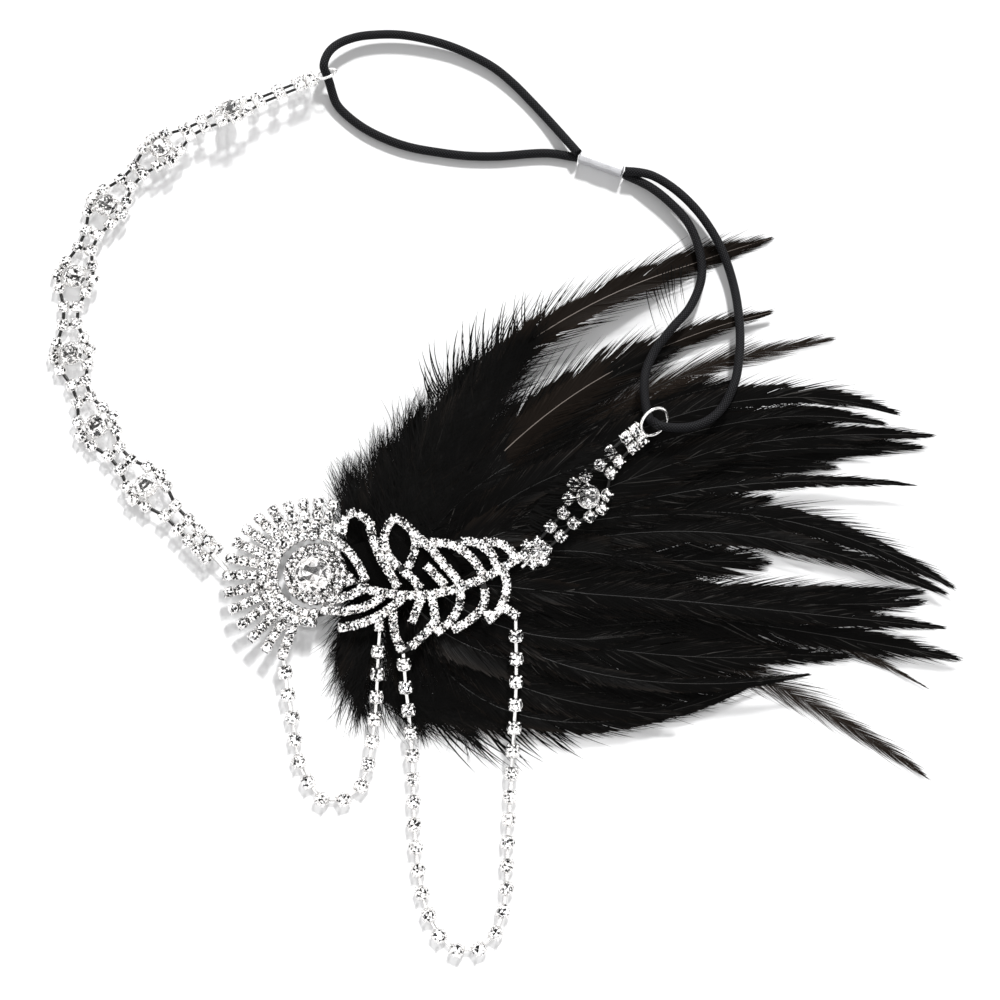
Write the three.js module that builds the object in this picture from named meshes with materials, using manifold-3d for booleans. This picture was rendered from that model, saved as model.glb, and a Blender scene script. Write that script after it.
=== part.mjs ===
// A feather headpiece lying face up: a pierced ornament of set stones on a black plume, two chains of
// set stones that run round the head to a pair of elastic loops, and two hanging loops of single chain.
//
// Millimetres, +Z up. Places in plan are measured from the centre of the ornament's eye, with +X along
// the ornament's quill and +Y towards the back of the head. At the end the whole is moved so that its
// origin is at the middle of the base that it lies on.

import * as THREE from 'three';
import { mergeVertices } from 'three/addons/utils/BufferGeometryUtils.js';
import Module from 'manifold-3d';

const wasm = await Module();
wasm.setup();

// Driving dimensions

const GAP = 0.3; // between neighbours that touch on the real object
const WELD = 1e-4;

const ORNAMENT = { back: 5.5, tilt: 4, depth: 2, row: 2.9 };
const FAN = {
  rays: 16, first: 75, last: 250, past: 5,
  inner: 10.5, rim: 13.4, root: 13, shortest: 23.6, longest: 27.2, ray: 2.4,
  growFrom: 0.1, growTo: 0.62, // the shares of the fan between which its rays grow
};
const EYE = { halo: 8.6, point: 13.2, turn: -9.6, pocket: 6.4, floor: 0.6, sides: 16 };
const EYE_STONE = { girdle: 6, table: 3.4, low: 0.9, middle: 2.4, top: 4.8, culet: 2, sides: 16 };

const STONE = { girdle: 1.8, table: 1, middle: 1.8, top: 2.8, sides: 6 };
const SWAG_STONE = { girdle: 2.1, table: 1.2, middle: 1.9, top: 3, sides: 6 };
const BIG_CUP = { foot: 2.7, rim: 3.7, lip: 3.3, height: 2.2, floor: 0.6, spoke: 2.2, sides: 8 };
const BIG_STONE = { girdle: 3.4, table: 1.9, low: 0.95, middle: 2.6, top: 4.3, sides: 8 };
const LINK = { radius: 0.8, height: 1.15 };
const TONGUE = { wide: 1.6, thick: 0.6 };

const PAIR_HALF = 2.2; // from a chain's middle to each of its two rows
const CLUSTER = [
  { along: -4.2, across: 4.3 },
  { along: 0, across: 5.75 },
  { along: 4.2, across: 4.3 },
];
const ROSETTE = [[-2.9, 1.65], [0, 3.3], [2.9, 1.65]];
const BLOCK_STEP = 3.8;

const BAND = {
  centre: [-8, 80], radius: 66.5, start: 113, end: 223.5, straightRing: 39.7, straightFan: 42,
  leanRing: 50, leanMiddle: 16, leanFan: 5, leanFrom: 25, leanTo: 72,
  reach: 6.8, riseFan: 1.9, riseOver: 90,
  cluster: 31.3, clusters: 7, pitch: 24.25, pairs: [9.4, 14.9],
  ringBlock: 7.2, ringPairs: [15.6, 22.4], fanPairs: [187.3, 193.1], fanBlock: 201.5, tongue: 7.1,
  ringRadius: 3.1, ringLug: 2.4,
};
const SIDE = {
  route: [[65.8, 6.2, 6.7], [81.5, 23.8, 9.2], [88.5, 35, 10.3], [100.8, 46.1, 11.4]],
  leanTip: 0, leanRing: 48,
  rosette: 0, cluster: 23, pairs: [8.9, 14.4, 32.8, 37.6], block: 45.8, tongue: 6, tongueLift: 2.2,
  ringRadius: 4.1, ringLug: 2,
};
const RING_WIRE = { radius: 0.55, sides: 5, around: 12 };

const SWAG_PITCH = 6.9;
const SWAG_SHORT = [
  [-8.9, -22.5, 3.3], [-7.6, -34, 1.2], [-5.8, -43, 0], [-3.4, -57, 0], [4.5, -67.5, 0],
  [14, -63.5, 0], [17.4, -51, 1.4], [18.8, -38, 2.2], [19.3, -25, 4], [19.8, -16.6, 5.3],
];
const SWAG_LONG = [
  [26.6, -20.5, 5.8], [27.5, -33, 4], [29, -46, 2.2], [29.8, -60, 0.1], [30.4, -78, 0], [32.8, -95, 0],
  [37.6, -107, 0], [45.5, -112, 0], [53.4, -107.4, 0], [56.8, -97, 0], [57.6, -80, 0], [58.6, -63, 0.2],
  [59.5, -47, 3.6], [60.2, -32, 5.8], [60, -12.4, 8.1],
];

const ELASTIC = { radius: 1.35, sides: 8 };
const CRIMP = { from: [79.5, 132], to: [93.1, 126.9], wide: 2.7, tall: 5.4, sides: 10 };
const THREADING = 2.6; // how far the elastic runs straight on each side of a ring
const ELASTIC_LEFT = {
  steps: 30,
  before: [
    [79.2, 132.1, 1.35], [70, 133.5, 1.4], [54, 132.5, 1.4], [45, 132.7, 1.4], [37, 133.7, 1.4],
    [28, 135.4, 1.4], [21, 137.8, 1.4], [14, 141.4, 1.4], [8.6, 145.6, 1.4], [5.2, 149.4, 1.8],
  ],
  after: [
    [2.6, 163.7, 7], [5.8, 167.6, 5.2], [11.2, 170.2, 4], [17, 171.2, 3.4], [24.2, 171.3, 3.2],
    [31.1, 170.3, 2.9], [39.6, 168, 2.4], [46.4, 165.1, 2.1], [53.8, 160.8, 1.9], [59.5, 155.9, 1.7],
    [65.2, 149.9, 1.5], [70.8, 143.4, 1.9], [79.3, 132.6, 4.05],
  ],
};
const ELASTIC_RIGHT = {
  steps: 40,
  before: [
    [93.4, 126.7, 1.35], [97.4, 124.4, 2.4], [101.6, 121.8, 3.2], [107.2, 117, 3.4], [112.2, 111.2, 3.3],
    [115.6, 103.4, 3], [116.6, 94, 2.9], [113, 83.6, 5], [106.6, 75.2, 7.6], [101, 67, 7.8],
    [98.6, 58.5, 9.4],
  ],
  after: [
    [108, 43.4, 13.2], [115, 45, 11.2], [121, 49.4, 9.9], [125.6, 58, 9.8], [127.4, 68, 8],
    [127.7, 78, 5.4], [126.2, 91, 2.9], [122.6, 102.4, 3.2], [117.6, 111.4, 3.5],
    [112.5, 117.6, 3.8], [107.2, 122.2, 4], [101.8, 125.4, 4.2], [98, 126.4, 4.2], [93.5, 126.9, 4.05],
  ],
};

// The ornament's rows of stones: where each starts, what it passes half way, and where it ends.
const ROWS = [
  { name: 'quill', from: [13, -3.4], by: [38, -6.2], to: [64, 6] },
  { name: 'upper 1', from: [2, 12.2], by: [10.3, 7], to: [15.8, -2.4] },
  { name: 'upper 2, crest', from: [8.4, 11.6], by: [11.4, 18.4], to: [17.6, 14.4] },
  { name: 'upper 2, fall', from: [17.2, 15.2], by: [19.3, 6.4], to: [25.6, -4.4] },
  { name: 'loop, left', from: [24.4, 17.2], by: [21.3, 9.4], to: [25.6, 1.6] },
  { name: 'loop, right', from: [23.8, 17], by: [30.2, 10.6], to: [28, 1.4] },
  { name: 'loop, fall', from: [24.6, 2.6], by: [28.7, -1], to: [32.2, -4.8] },
  { name: 'upper 4', from: [33.4, 2.2], by: [36.4, -0.8], to: [39.4, -4.2] },
  { name: 'upper 5', from: [28, 14], by: [36, 6], to: [43.8, -3.6] },
  { name: 'upper 6', from: [33.6, 8.8], by: [43.4, 7.2], to: [50.6, -1] },
  { name: 'upper 7', from: [41, 8.6], by: [49.6, 8.2], to: [55, 1.4] },
  { name: 'upper 8', from: [48.6, 8.6], by: [56, 8.2], to: [60.2, 3.6] },
  { name: 'lower 1', from: [4.6, -8.4], by: [9.6, -7], to: [15, -5] },
  { name: 'lower 2', from: [2.6, -10.6], by: [12.6, -11], to: [20.8, -7] },
  { name: 'lower 3', from: [7.6, -16.4], by: [18, -13.8], to: [26.8, -7.6] },
  { name: 'lower 4', from: [24.4, -8.4], by: [24.3, -16.8], to: [27, -23.8] },
  { name: 'lower edge', from: [26.2, -23.6], by: [31.8, -20.2], to: [36.6, -14.4] },
  { name: 'lower 5', from: [32.6, -7.2], by: [31, -11.2], to: [29.4, -15.4] },
  { name: 'lower 6', from: [35.4, -7], by: [36, -10.6], to: [36.6, -15.4] },
  { name: 'lower 7', from: [43.8, -5.4], by: [42.6, -12.4], to: [36.4, -18.6] },
  { name: 'lower 8', from: [50, -2.4], by: [50.2, -11], to: [41.4, -17.6] },
  { name: 'lower 9', from: [56.4, 0.6], by: [57.2, -8], to: [51.8, -15.2] },
  { name: 'swag lug', from: [19.8, -12.6], by: [19.8, -14.8], to: [19.8, -17.4] },
  { name: 'long swag lug', from: [56, -10.4], by: [58.4, -12], to: [61.2, -14] },
];
const ROW_STEP = 4; // about the length of a row's facets
const TRILLION = { at: [52.6, -13.4], radius: 3.1, turn: 30 };

// The plume: its backing pad, and its feathers as root, bow and tip in plan, greatest width and layer.
const PAD = { centre: [24, 1], half: [20, 10.5], sides: 18 };
const PLUME = { thick: 1.3, layer: 1.4, spread: 0.8, flat: 40, spreadOver: 50, middle: [28, 0], steps: 4 };
const LEAF = { root: 0.12, span: 0.86, fullness: 0.8 }; // shares of a half wave that shape a feather's width
const FEATHERS = [
  { from: [28, 6], by: [72, 77], to: [138, 106.5], width: 9, layer: 0 },
  { from: [33, 5], by: [88, 52], to: [158.5, 75], width: 10, layer: 0 },
  { from: [34, 0], by: [80, 4], to: [142, 5], width: 26, layer: 0 },
  { from: [34, -4], by: [110, -17], to: [182, -34.5], width: 8, layer: 0 },
  { from: [33, -6], by: [106, -31], to: [179.5, -59], width: 9, layer: 0 },
  { from: [14, 5], by: [11, 20], to: [9, 34], width: 11, layer: 0 },
  { from: [22, 6], by: [27, 38], to: [33, 60], width: 15, layer: 0 },
  { from: [14, -6], by: [10, -17], to: [9, -29], width: 9, layer: 0 },
  { from: [19, -7], by: [13, -30], to: [16, -49], width: 12, layer: 0 },
  { from: [23, -7], by: [28, -32], to: [34, -52], width: 14, layer: 0 },
  { from: [27, -6], by: [42, -36], to: [53, -58], width: 12, layer: 0 },
  { from: [17, 6], by: [19, 28], to: [22, 47], width: 14, layer: 1 },
  { from: [24, 6], by: [45, 45], to: [75, 84], width: 24, layer: 1 },
  { from: [29, 5], by: [78, 56], to: [139, 82.5], width: 9, layer: 1 },
  { from: [34, 2], by: [106, 39], to: [187.5, 43.5], width: 13, layer: 1 },
  { from: [36, -1], by: [117, 20], to: [192.5, -4.5], width: 13, layer: 1 },
  { from: [35, -4], by: [114, -10], to: [192, -24], width: 13, layer: 1 },
  { from: [26, -6], by: [66, -45], to: [132, -33], width: 13, layer: 1 },
  { from: [24, 6], by: [36, 42], to: [47, 74], width: 14, layer: 2 },
  { from: [29, 4], by: [62, 43], to: [110, 71], width: 24, layer: 2 },
  { from: [36, 1], by: [108, 25], to: [182, 27.5], width: 9, layer: 2 },
  { from: [38, -2], by: [110, -3], to: [182, -4.5], width: 9, layer: 2 },
  { from: [33, -4], by: [80, -22], to: [142, -25], width: 22, layer: 2 },
  { from: [28, -6], by: [58, -32], to: [110, -42], width: 14, layer: 2 },
  { from: [34, 4], by: [113, 56], to: [186, 43.5], width: 15, layer: 3 },
  { from: [34, 2], by: [76, 22], to: [132, 42], width: 20, layer: 3 },
  { from: [38, -2], by: [115, -5], to: [189, -15.5], width: 8, layer: 3 },
  { from: [36, -4], by: [84, -30], to: [148.5, -30], width: 9, layer: 3 },
];

// Finishes

const SILVER = new THREE.MeshStandardMaterial({ color: 0xd9d9dc, roughness: 0.25, metalness: 1 });
const CRYSTAL = new THREE.MeshStandardMaterial({ color: 0xf2f4f8, roughness: 0.05, metalness: 0.1 });
const STEEL = new THREE.MeshStandardMaterial({ color: 0xb4b4b8, roughness: 0.35, metalness: 1 });
const BRAID = new THREE.MeshStandardMaterial({ color: 0x0c0c0d, roughness: 0.85, metalness: 0 });
const FEATHER = new THREE.MeshStandardMaterial({ color: 0x0e0c0b, roughness: 0.7, metalness: 0 });

// Shared steps

const UP = new THREE.Vector3(0, 0, 1);
const radians = THREE.MathUtils.degToRad;

/** A closed geometry as a solid that can be joined and cut. */
function solidOf(geometry) {
  const bare = geometry.clone();
  bare.deleteAttribute('normal');
  bare.deleteAttribute('uv');
  const welded = mergeVertices(bare, WELD);
  const corners = welded.index.array;
  const kept = [];
  for (let i = 0; i < corners.length; i += 3) {
    const [a, b, c] = [corners[i], corners[i + 1], corners[i + 2]];
    if (a !== b && b !== c && c !== a) kept.push(a, b, c);
  }
  const vertProperties = new Float32Array(welded.attributes.position.array);
  return new wasm.Manifold(new wasm.Mesh({ numProp: 3, vertProperties, triVerts: new Uint32Array(kept) }));
}

/** A solid as a geometry. */
function geometryOf(solid) {
  const mesh = solid.getMesh();
  const geometry = new THREE.BufferGeometry();
  geometry.setAttribute('position', new THREE.BufferAttribute(mesh.vertProperties, 3));
  geometry.setIndex(new THREE.BufferAttribute(mesh.triVerts, 1));
  geometry.computeVertexNormals();
  return geometry;
}

/** All the pieces as one body, joined in pairs, then pairs of pairs. */
function fuse(pieces) {
  let solids = pieces.map(solidOf);
  while (solids.length > 1) {
    const joined = [];
    for (let i = 0; i < solids.length; i += 2) {
      joined.push(i + 1 < solids.length ? solids[i].add(solids[i + 1]) : solids[i]);
    }
    solids = joined;
  }
  return solids[0];
}

function named(name, geometry, material) {
  const mesh = new THREE.Mesh(geometry, material);
  mesh.name = name;
  return mesh;
}

/** A turned shape about +Z from a profile of radius and height. */
function turned(profile, sides) {
  const points = profile.map(([radius, height]) => new THREE.Vector2(radius, height));
  return new THREE.LatheGeometry(points, sides).rotateX(Math.PI / 2);
}

/** The curve from one place to another that passes a third half way. */
function bowed({ from, by, to }) {
  const control = [0, 1].map((k) => 2 * by[k] - (from[k] + to[k]) / 2);
  return new THREE.QuadraticBezierCurve(
    new THREE.Vector2(...from), new THREE.Vector2(...control), new THREE.Vector2(...to),
  );
}

/** A flat outline round a curve, with the half width that a function gives for each share of its length. */
function outlineRound(curve, steps, halfWidth) {
  const left = [];
  const right = [];
  for (let i = 0; i <= steps; i += 1) {
    const share = i / steps;
    const middle = curve.getPointAt(share);
    const along = curve.getTangentAt(share);
    const side = new THREE.Vector2(-along.y, along.x).multiplyScalar(halfWidth(share));
    left.push(middle.clone().add(side));
    right.unshift(middle.clone().sub(side));
  }
  return new THREE.Shape([...left, ...right]);
}

/** A plate of a given thickness over an outline, with its underside at height 0. */
function plate(shape, depth, curveSegments = 12) {
  return new THREE.ExtrudeGeometry(shape, { depth, bevelEnabled: false, curveSegments });
}

/** A regular outline for a tube's section. */
function roundSection(radius, sides) {
  const corners = [];
  for (let i = 0; i < sides; i += 1) {
    const angle = (2 * Math.PI * i) / sides;
    corners.push(new THREE.Vector2(radius * Math.cos(angle), radius * Math.sin(angle)));
  }
  return new THREE.Shape(corners);
}

/** A tube with closed ends along a curve. */
function tube(curve, radius, sides, steps) {
  return new THREE.ExtrudeGeometry(roundSection(radius, sides), { steps, extrudePath: curve });
}

function smoothCurve(points) {
  return new THREE.CatmullRomCurve3(points.map((p) => (p.isVector3 ? p : new THREE.Vector3(...p))));
}

// Ornament

function fanRays() {
  const rays = [];
  for (let i = 0; i < FAN.rays; i += 1) {
    const share = i / (FAN.rays - 1);
    const grown = THREE.MathUtils.smoothstep(share, FAN.growFrom, FAN.growTo);
    const tip = THREE.MathUtils.lerp(FAN.shortest, FAN.longest, grown);
    const ray = new THREE.BoxGeometry(tip - FAN.root, FAN.ray, ORNAMENT.depth);
    ray.translate((tip + FAN.root) / 2, 0, ORNAMENT.depth / 2);
    rays.push(ray.rotateZ(radians(THREE.MathUtils.lerp(FAN.first, FAN.last, share))));
  }
  return rays;
}

function fanArc() {
  const shape = new THREE.Shape();
  const from = radians(FAN.first - FAN.past);
  const to = radians(FAN.last + FAN.past);
  shape.absarc(0, 0, FAN.rim, from, to, false);
  shape.absarc(0, 0, FAN.inner, to, from, true);
  return plate(shape, ORNAMENT.depth, FAN.rays);
}

/** The drop-shaped plate round the eye, with its point on the quill. */
function eyeHalo() {
  const opening = Math.acos(EYE.halo / EYE.point);
  const turn = radians(EYE.turn);
  const shape = new THREE.Shape();
  shape.absarc(0, 0, EYE.halo, turn + opening, turn - opening + 2 * Math.PI, false);
  shape.lineTo(EYE.point * Math.cos(turn), EYE.point * Math.sin(turn));
  return plate(shape, ORNAMENT.depth, EYE.sides);
}

function stoneRow(row) {
  const curve = bowed(row);
  const steps = Math.ceil(curve.getLength() / ROW_STEP) - 1;
  return plate(outlineRound(curve, steps, () => ORNAMENT.row / 2), ORNAMENT.depth);
}

function ornamentFrame() {
  const rows = ROWS.map(stoneRow);
  const trillion = new THREE.CylinderGeometry(TRILLION.radius, TRILLION.radius, ORNAMENT.depth + GAP, 3);
  trillion.rotateX(Math.PI / 2).rotateZ(radians(TRILLION.turn));
  trillion.translate(...TRILLION.at, (ORNAMENT.depth + GAP) / 2);
  const pocket = new THREE.CylinderGeometry(EYE.pocket, EYE.pocket, ORNAMENT.depth, EYE.sides);
  pocket.rotateX(Math.PI / 2).translate(0, 0, EYE.floor + ORNAMENT.depth / 2);
  return fuse([eyeHalo(), fanArc(), ...fanRays(), ...rows, trillion]).subtract(solidOf(pocket));
}

function eyeStone() {
  const { girdle, table, low, middle, top, culet, sides } = EYE_STONE;
  return turned([[0, low], [culet, low], [girdle, middle], [table, top], [0, top]], sides);
}

function ornament() {
  const group = new THREE.Group();
  group.add(named('ornament_frame', geometryOf(ornamentFrame()), SILVER));
  group.add(named('eye_stone', eyeStone(), CRYSTAL));
  group.rotation.y = -radians(ORNAMENT.tilt);
  group.position.z = ORNAMENT.back;
  return group;
}

/** The height of the ornament's back above the table, at a place along its quill. */
function ornamentBack(x) {
  return ORNAMENT.back + x * Math.tan(radians(ORNAMENT.tilt));
}

// Chains of set stones

/** A cut stone with its point down, turned so that flats face along and across its chain. */
function cutStone({ girdle, table, middle, top, sides }) {
  const stone = turned([[0, 0], [girdle, middle], [table, top], [0, top]], sides);
  return stone.rotateZ(Math.PI / sides);
}

function bigCup() {
  const { foot, rim, lip, height, floor, sides } = BIG_CUP;
  return turned([[0, 0], [foot, 0], [rim, height], [lip, height], [0, floor]], sides);
}

function bigStone() {
  const { girdle, table, low, middle, top, sides } = BIG_STONE;
  return turned([[0, low], [girdle, middle], [girdle, middle + GAP], [table, top], [0, top]], sides);
}

/** A slim three-sided link between two points, thickest half way, with a ridge towards the stones' faces. */
function link(from, to, face) {
  const along = new THREE.Vector3().subVectors(to, from);
  const half = along.length() / 2;
  const spindle = turned([[0, -half], [LINK.radius, 0], [0, half]], 3);
  along.normalize();
  const across = new THREE.Vector3().crossVectors(face, along).normalize();
  const ridge = new THREE.Vector3().crossVectors(along, across);
  const middle = from.clone().add(to).multiplyScalar(0.5);
  return spindle.applyMatrix4(new THREE.Matrix4().makeBasis(across, ridge, along).setPosition(middle));
}

function faceOf(place) {
  return new THREE.Vector3().setFromMatrixColumn(place, 2);
}

/**
 * A place on a chain: its X axis along the chain, its Z axis out of the stones' faces. A lean turns the
 * faces outwards, to the right-hand side of the way the chain runs.
 */
function placeOn(curve, distance, lean) {
  const share = THREE.MathUtils.clamp(distance / curve.getLength(), 0, 1);
  const along = curve.getTangentAt(share);
  along.z = 0;
  along.normalize();
  const outward = new THREE.Vector3().crossVectors(along, UP);
  const face = outward.multiplyScalar(Math.sin(lean)).addScaledVector(UP, Math.cos(lean));
  const inward = new THREE.Vector3().crossVectors(face, along);
  const point = curve.getPointAt(share);
  point.z = Math.max(point.z, 0);
  return new THREE.Matrix4().makeBasis(along, inward, face).setPosition(point);
}

/** A block of stones in two rows, at steps from its middle. */
function blockOf(steps) {
  const along = steps.map((step) => step * BLOCK_STEP);
  return {
    stones: along.flatMap((x) => [[x, PAIR_HALF], [x, -PAIR_HALF]]),
    cross: along.map((x) => [x, -PAIR_HALF, PAIR_HALF]),
    bends: [[along[0], PAIR_HALF], [along.at(-1), PAIR_HALF]],
  };
}

/**
 * The settings at one place of a double chain, in its own frame: its stones, whether it holds a large
 * stone, the cross links from one side to the other, and where its two rows bend.
 */
const SETTINGS = {
  pair: {
    stones: [[0, PAIR_HALF], [0, -PAIR_HALF]],
    cross: [[0, -PAIR_HALF, PAIR_HALF]],
    bends: [[0, PAIR_HALF]],
  },
  ringBlock: blockOf([-0.5, 0.5]),
  fanBlock: blockOf([-1, 0, 1]),
  cluster: {
    stones: CLUSTER.flatMap(({ along, across }) => [[along, across], [along, -across]]),
    large: true,
    cross: [-1, 1].map((k) => [0, k * CLUSTER[1].across, k * BIG_CUP.spoke]),
    bends: CLUSTER.map(({ along, across }) => [along, across]),
  },
  rosette: {
    stones: [[0, 0], ...[-1, 1].flatMap((k) => ROSETTE.map(([along, across]) => [along, k * across]))],
    cross: ROSETTE.map(([along, across]) => [along, -across, across]),
    bends: ROSETTE,
  },
};

/**
 * A double chain as one body, with the places of its large stones and of the ring at its end.
 * Each setting names its kind and its distance along the curve. Links join the stones of each row and
 * the two rows; a ring finishes one end, and a tongue under one of the ornament's rows the other.
 */
function doubleChain(curve, leanAt, settings, ring, tongue) {
  const pieces = [];
  const largePlaces = [];
  const rows = [[], []];
  const put = (geometry, place) => pieces.push(geometry.applyMatrix4(place));
  const onLink = (place, along, across) => new THREE.Vector3(along, across, LINK.height).applyMatrix4(place);
  for (const { kind, at } of settings) {
    const place = placeOn(curve, at, leanAt(at));
    const { stones, large, cross, bends } = SETTINGS[kind];
    for (const [along, across] of stones) put(cutStone(STONE).translate(along, across, 0), place);
    for (const [along, start, end] of cross) {
      pieces.push(link(onLink(place, along, start), onLink(place, along, end), faceOf(place)));
    }
    for (const [along, across] of bends) {
      rows[0].push({ point: onLink(place, along, across), face: faceOf(place) });
      rows[1].push({ point: onLink(place, along, -across), face: faceOf(place) });
    }
    if (large) {
      put(bigCup(), place);
      largePlaces.push(place);
    }
  }
  for (const row of rows) {
    for (let i = 1; i < row.length; i += 1) {
      pieces.push(link(row[i - 1].point, row[i].point, row[i].face));
    }
  }
  const ringPlace = placeOn(curve, ring.at, leanAt(ring.at));
  const hoop = new THREE.TorusGeometry(ring.radius, RING_WIRE.radius, RING_WIRE.sides, RING_WIRE.around);
  put(hoop.translate(0, 0, LINK.height), ringPlace);
  const lastBlock = placeOn(curve, ring.block, leanAt(ring.block));
  const lug = new THREE.BoxGeometry(ring.lug, 2 * RING_WIRE.radius, 2 * RING_WIRE.radius);
  put(lug.translate(ring.way * (BLOCK_STEP + ring.lug) / 2, 0, LINK.height), lastBlock);
  const tongueBar = new THREE.BoxGeometry(tongue.length, TONGUE.wide, TONGUE.thick);
  tongueBar.translate(tongue.way * (tongue.start + tongue.length / 2), 0, tongue.lift);
  put(tongueBar, placeOn(curve, tongue.at, leanAt(tongue.at)));
  return {
    solid: fuse(pieces),
    largePlaces,
    ring: { centre: onLink(ringPlace, 0, 0), axis: faceOf(ringPlace) },
  };
}

/** The band's curve: a straight run, the arc round the head, and a straight run to the fan. */
class BandCurve extends THREE.Curve {
  static arc = BAND.radius * radians(BAND.end - BAND.start);

  static length = BAND.straightRing + BandCurve.arc + BAND.straightFan;

  static lean(distance) {
    const lying = THREE.MathUtils.lerp(BAND.leanMiddle, BAND.leanFan, distance / BandCurve.length);
    const settled = THREE.MathUtils.smoothstep(distance, BAND.leanFrom, BAND.leanTo);
    return radians(lying + (BAND.leanRing - BAND.leanMiddle) * (1 - settled));
  }

  getPoint(share, target = new THREE.Vector3()) {
    const distance = share * BandCurve.length;
    const onArc = THREE.MathUtils.clamp(distance - BAND.straightRing, 0, BandCurve.arc);
    const angle = radians(BAND.start) + onArc / BAND.radius;
    const past = distance - BAND.straightRing - onArc;
    const x = BAND.centre[0] + BAND.radius * Math.cos(angle) - past * Math.sin(angle);
    const y = BAND.centre[1] + BAND.radius * Math.sin(angle) + past * Math.cos(angle);
    const rise = THREE.MathUtils.smoothstep(distance, BandCurve.length - BAND.riseOver, BandCurve.length);
    const z = BAND.reach * Math.sin(BandCurve.lean(distance)) + BAND.riseFan * rise;
    return target.set(x, y, z);
  }
}

function bandChain() {
  const curve = new BandCurve();
  const settings = [{ kind: 'ringBlock', at: BAND.ringBlock }];
  for (const at of BAND.ringPairs) settings.push({ kind: 'pair', at });
  for (let i = 0; i < BAND.clusters; i += 1) {
    const at = BAND.cluster + i * BAND.pitch;
    settings.push({ kind: 'cluster', at });
    if (i < BAND.clusters - 1) {
      for (const step of BAND.pairs) settings.push({ kind: 'pair', at: at + step });
    }
  }
  for (const at of BAND.fanPairs) settings.push({ kind: 'pair', at });
  settings.push({ kind: 'fanBlock', at: BAND.fanBlock });
  const ring = { at: 0, radius: BAND.ringRadius, block: BAND.ringBlock, lug: BAND.ringLug, way: -1 };
  const tongue = { at: BAND.fanBlock, start: BLOCK_STEP, length: BAND.tongue, lift: LINK.height, way: 1 };
  return doubleChain(curve, BandCurve.lean, settings, ring, tongue);
}

function sideChain() {
  const curve = smoothCurve(SIDE.route);
  const length = curve.getLength();
  const lean = (distance) => radians(THREE.MathUtils.lerp(SIDE.leanTip, SIDE.leanRing, distance / length));
  const settings = [
    { kind: 'rosette', at: SIDE.rosette },
    ...SIDE.pairs.map((at) => ({ kind: 'pair', at })),
    { kind: 'cluster', at: SIDE.cluster },
    { kind: 'ringBlock', at: SIDE.block },
  ].sort((a, b) => a.at - b.at);
  const ring = { at: length, radius: SIDE.ringRadius, block: SIDE.block, lug: SIDE.ringLug, way: 1 };
  const tongue = { at: 0, start: 0, length: SIDE.tongue, lift: SIDE.tongueLift, way: -1 };
  return doubleChain(curve, lean, settings, ring, tongue);
}

/** A single chain: stones at an even pitch, joined by links, its two ends under the ornament. */
function swagChain(route) {
  const curve = smoothCurve(route);
  const links = Math.round(curve.getLength() / SWAG_PITCH);
  const pieces = [];
  let last = curve.getPointAt(0).addScaledVector(UP, LINK.height);
  for (let i = 1; i < links; i += 1) {
    const place = placeOn(curve, (i / links) * curve.getLength(), 0);
    const here = new THREE.Vector3(0, 0, LINK.height).applyMatrix4(place);
    pieces.push(cutStone(SWAG_STONE).applyMatrix4(place), link(last, here, UP));
    last = here;
  }
  pieces.push(link(last, curve.getPointAt(1).addScaledVector(UP, LINK.height), UP));
  return fuse(pieces);
}

// Elastic loops and their crimp

/** One loop of elastic, from the crimp through a ring and back. */
function elasticLoop({ before, after, steps }, ring) {
  const onAxis = [-1, 0, 1].map((k) => ring.centre.clone().addScaledVector(ring.axis, k * THREADING));
  return tube(smoothCurve([...before, ...onAxis, ...after]), ELASTIC.radius, ELASTIC.sides, steps);
}

/** The flattened tube that grips the four ends of the elastic, two above two. */
function crimp() {
  const from = new THREE.Vector2(...CRIMP.from);
  const to = new THREE.Vector2(...CRIMP.to);
  const along = to.clone().sub(from);
  const round = CRIMP.wide / 2;
  const shape = new THREE.Shape();
  shape.absarc(0, CRIMP.tall - round, round, 0, Math.PI, false);
  shape.absarc(0, round, round, Math.PI, 2 * Math.PI, false);
  const bar = plate(shape, along.length() - 2 * GAP, CRIMP.sides / 2);
  bar.translate(0, 0, -along.length() / 2 + GAP).rotateX(Math.PI / 2).rotateZ(Math.PI / 2 + along.angle());
  const middle = from.add(to).multiplyScalar(0.5);
  return bar.translate(middle.x, middle.y, 0);
}

// Plume

/** The height of a feather's underside: its layer's, spreading away from the pad. */
function layerHeight(layer, x, y) {
  const out = Math.hypot(x - PLUME.middle[0], y - PLUME.middle[1]);
  const open = THREE.MathUtils.smoothstep(out, PLUME.flat, PLUME.flat + PLUME.spreadOver);
  return layer * (PLUME.layer + PLUME.spread * open);
}

/** One feather: a leaf-shaped strip, widest before its middle and drawn out to a point. */
function feather({ from, by, to, width, layer }) {
  const leaf = (share) => (width / 2) * Math.sin(Math.PI * (LEAF.root + LEAF.span * share ** LEAF.fullness));
  const strip = plate(outlineRound(bowed({ from, by, to }), PLUME.steps, leaf), PLUME.thick);
  const place = strip.attributes.position;
  for (let i = 0; i < place.count; i += 1) {
    place.setZ(i, place.getZ(i) + layerHeight(layer, place.getX(i), place.getY(i)));
  }
  return strip;
}

/** The pad that the feathers are glued to, with its top just under the ornament. */
function backingPad() {
  const pad = new THREE.CylinderGeometry(1, 1, 1, PAD.sides).rotateX(Math.PI / 2).translate(0, 0, 0.5);
  pad.scale(...PAD.half, 1).translate(...PAD.centre, 0);
  const place = pad.attributes.position;
  for (let i = 0; i < place.count; i += 1) {
    place.setZ(i, place.getZ(i) * (ornamentBack(place.getX(i)) - GAP));
  }
  return pad;
}

function plume() {
  return fuse([backingPad(), ...FEATHERS.map(feather)]);
}

// Assembly

const headpiece = new THREE.Group();
const band = bandChain();
const side = sideChain();

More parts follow.
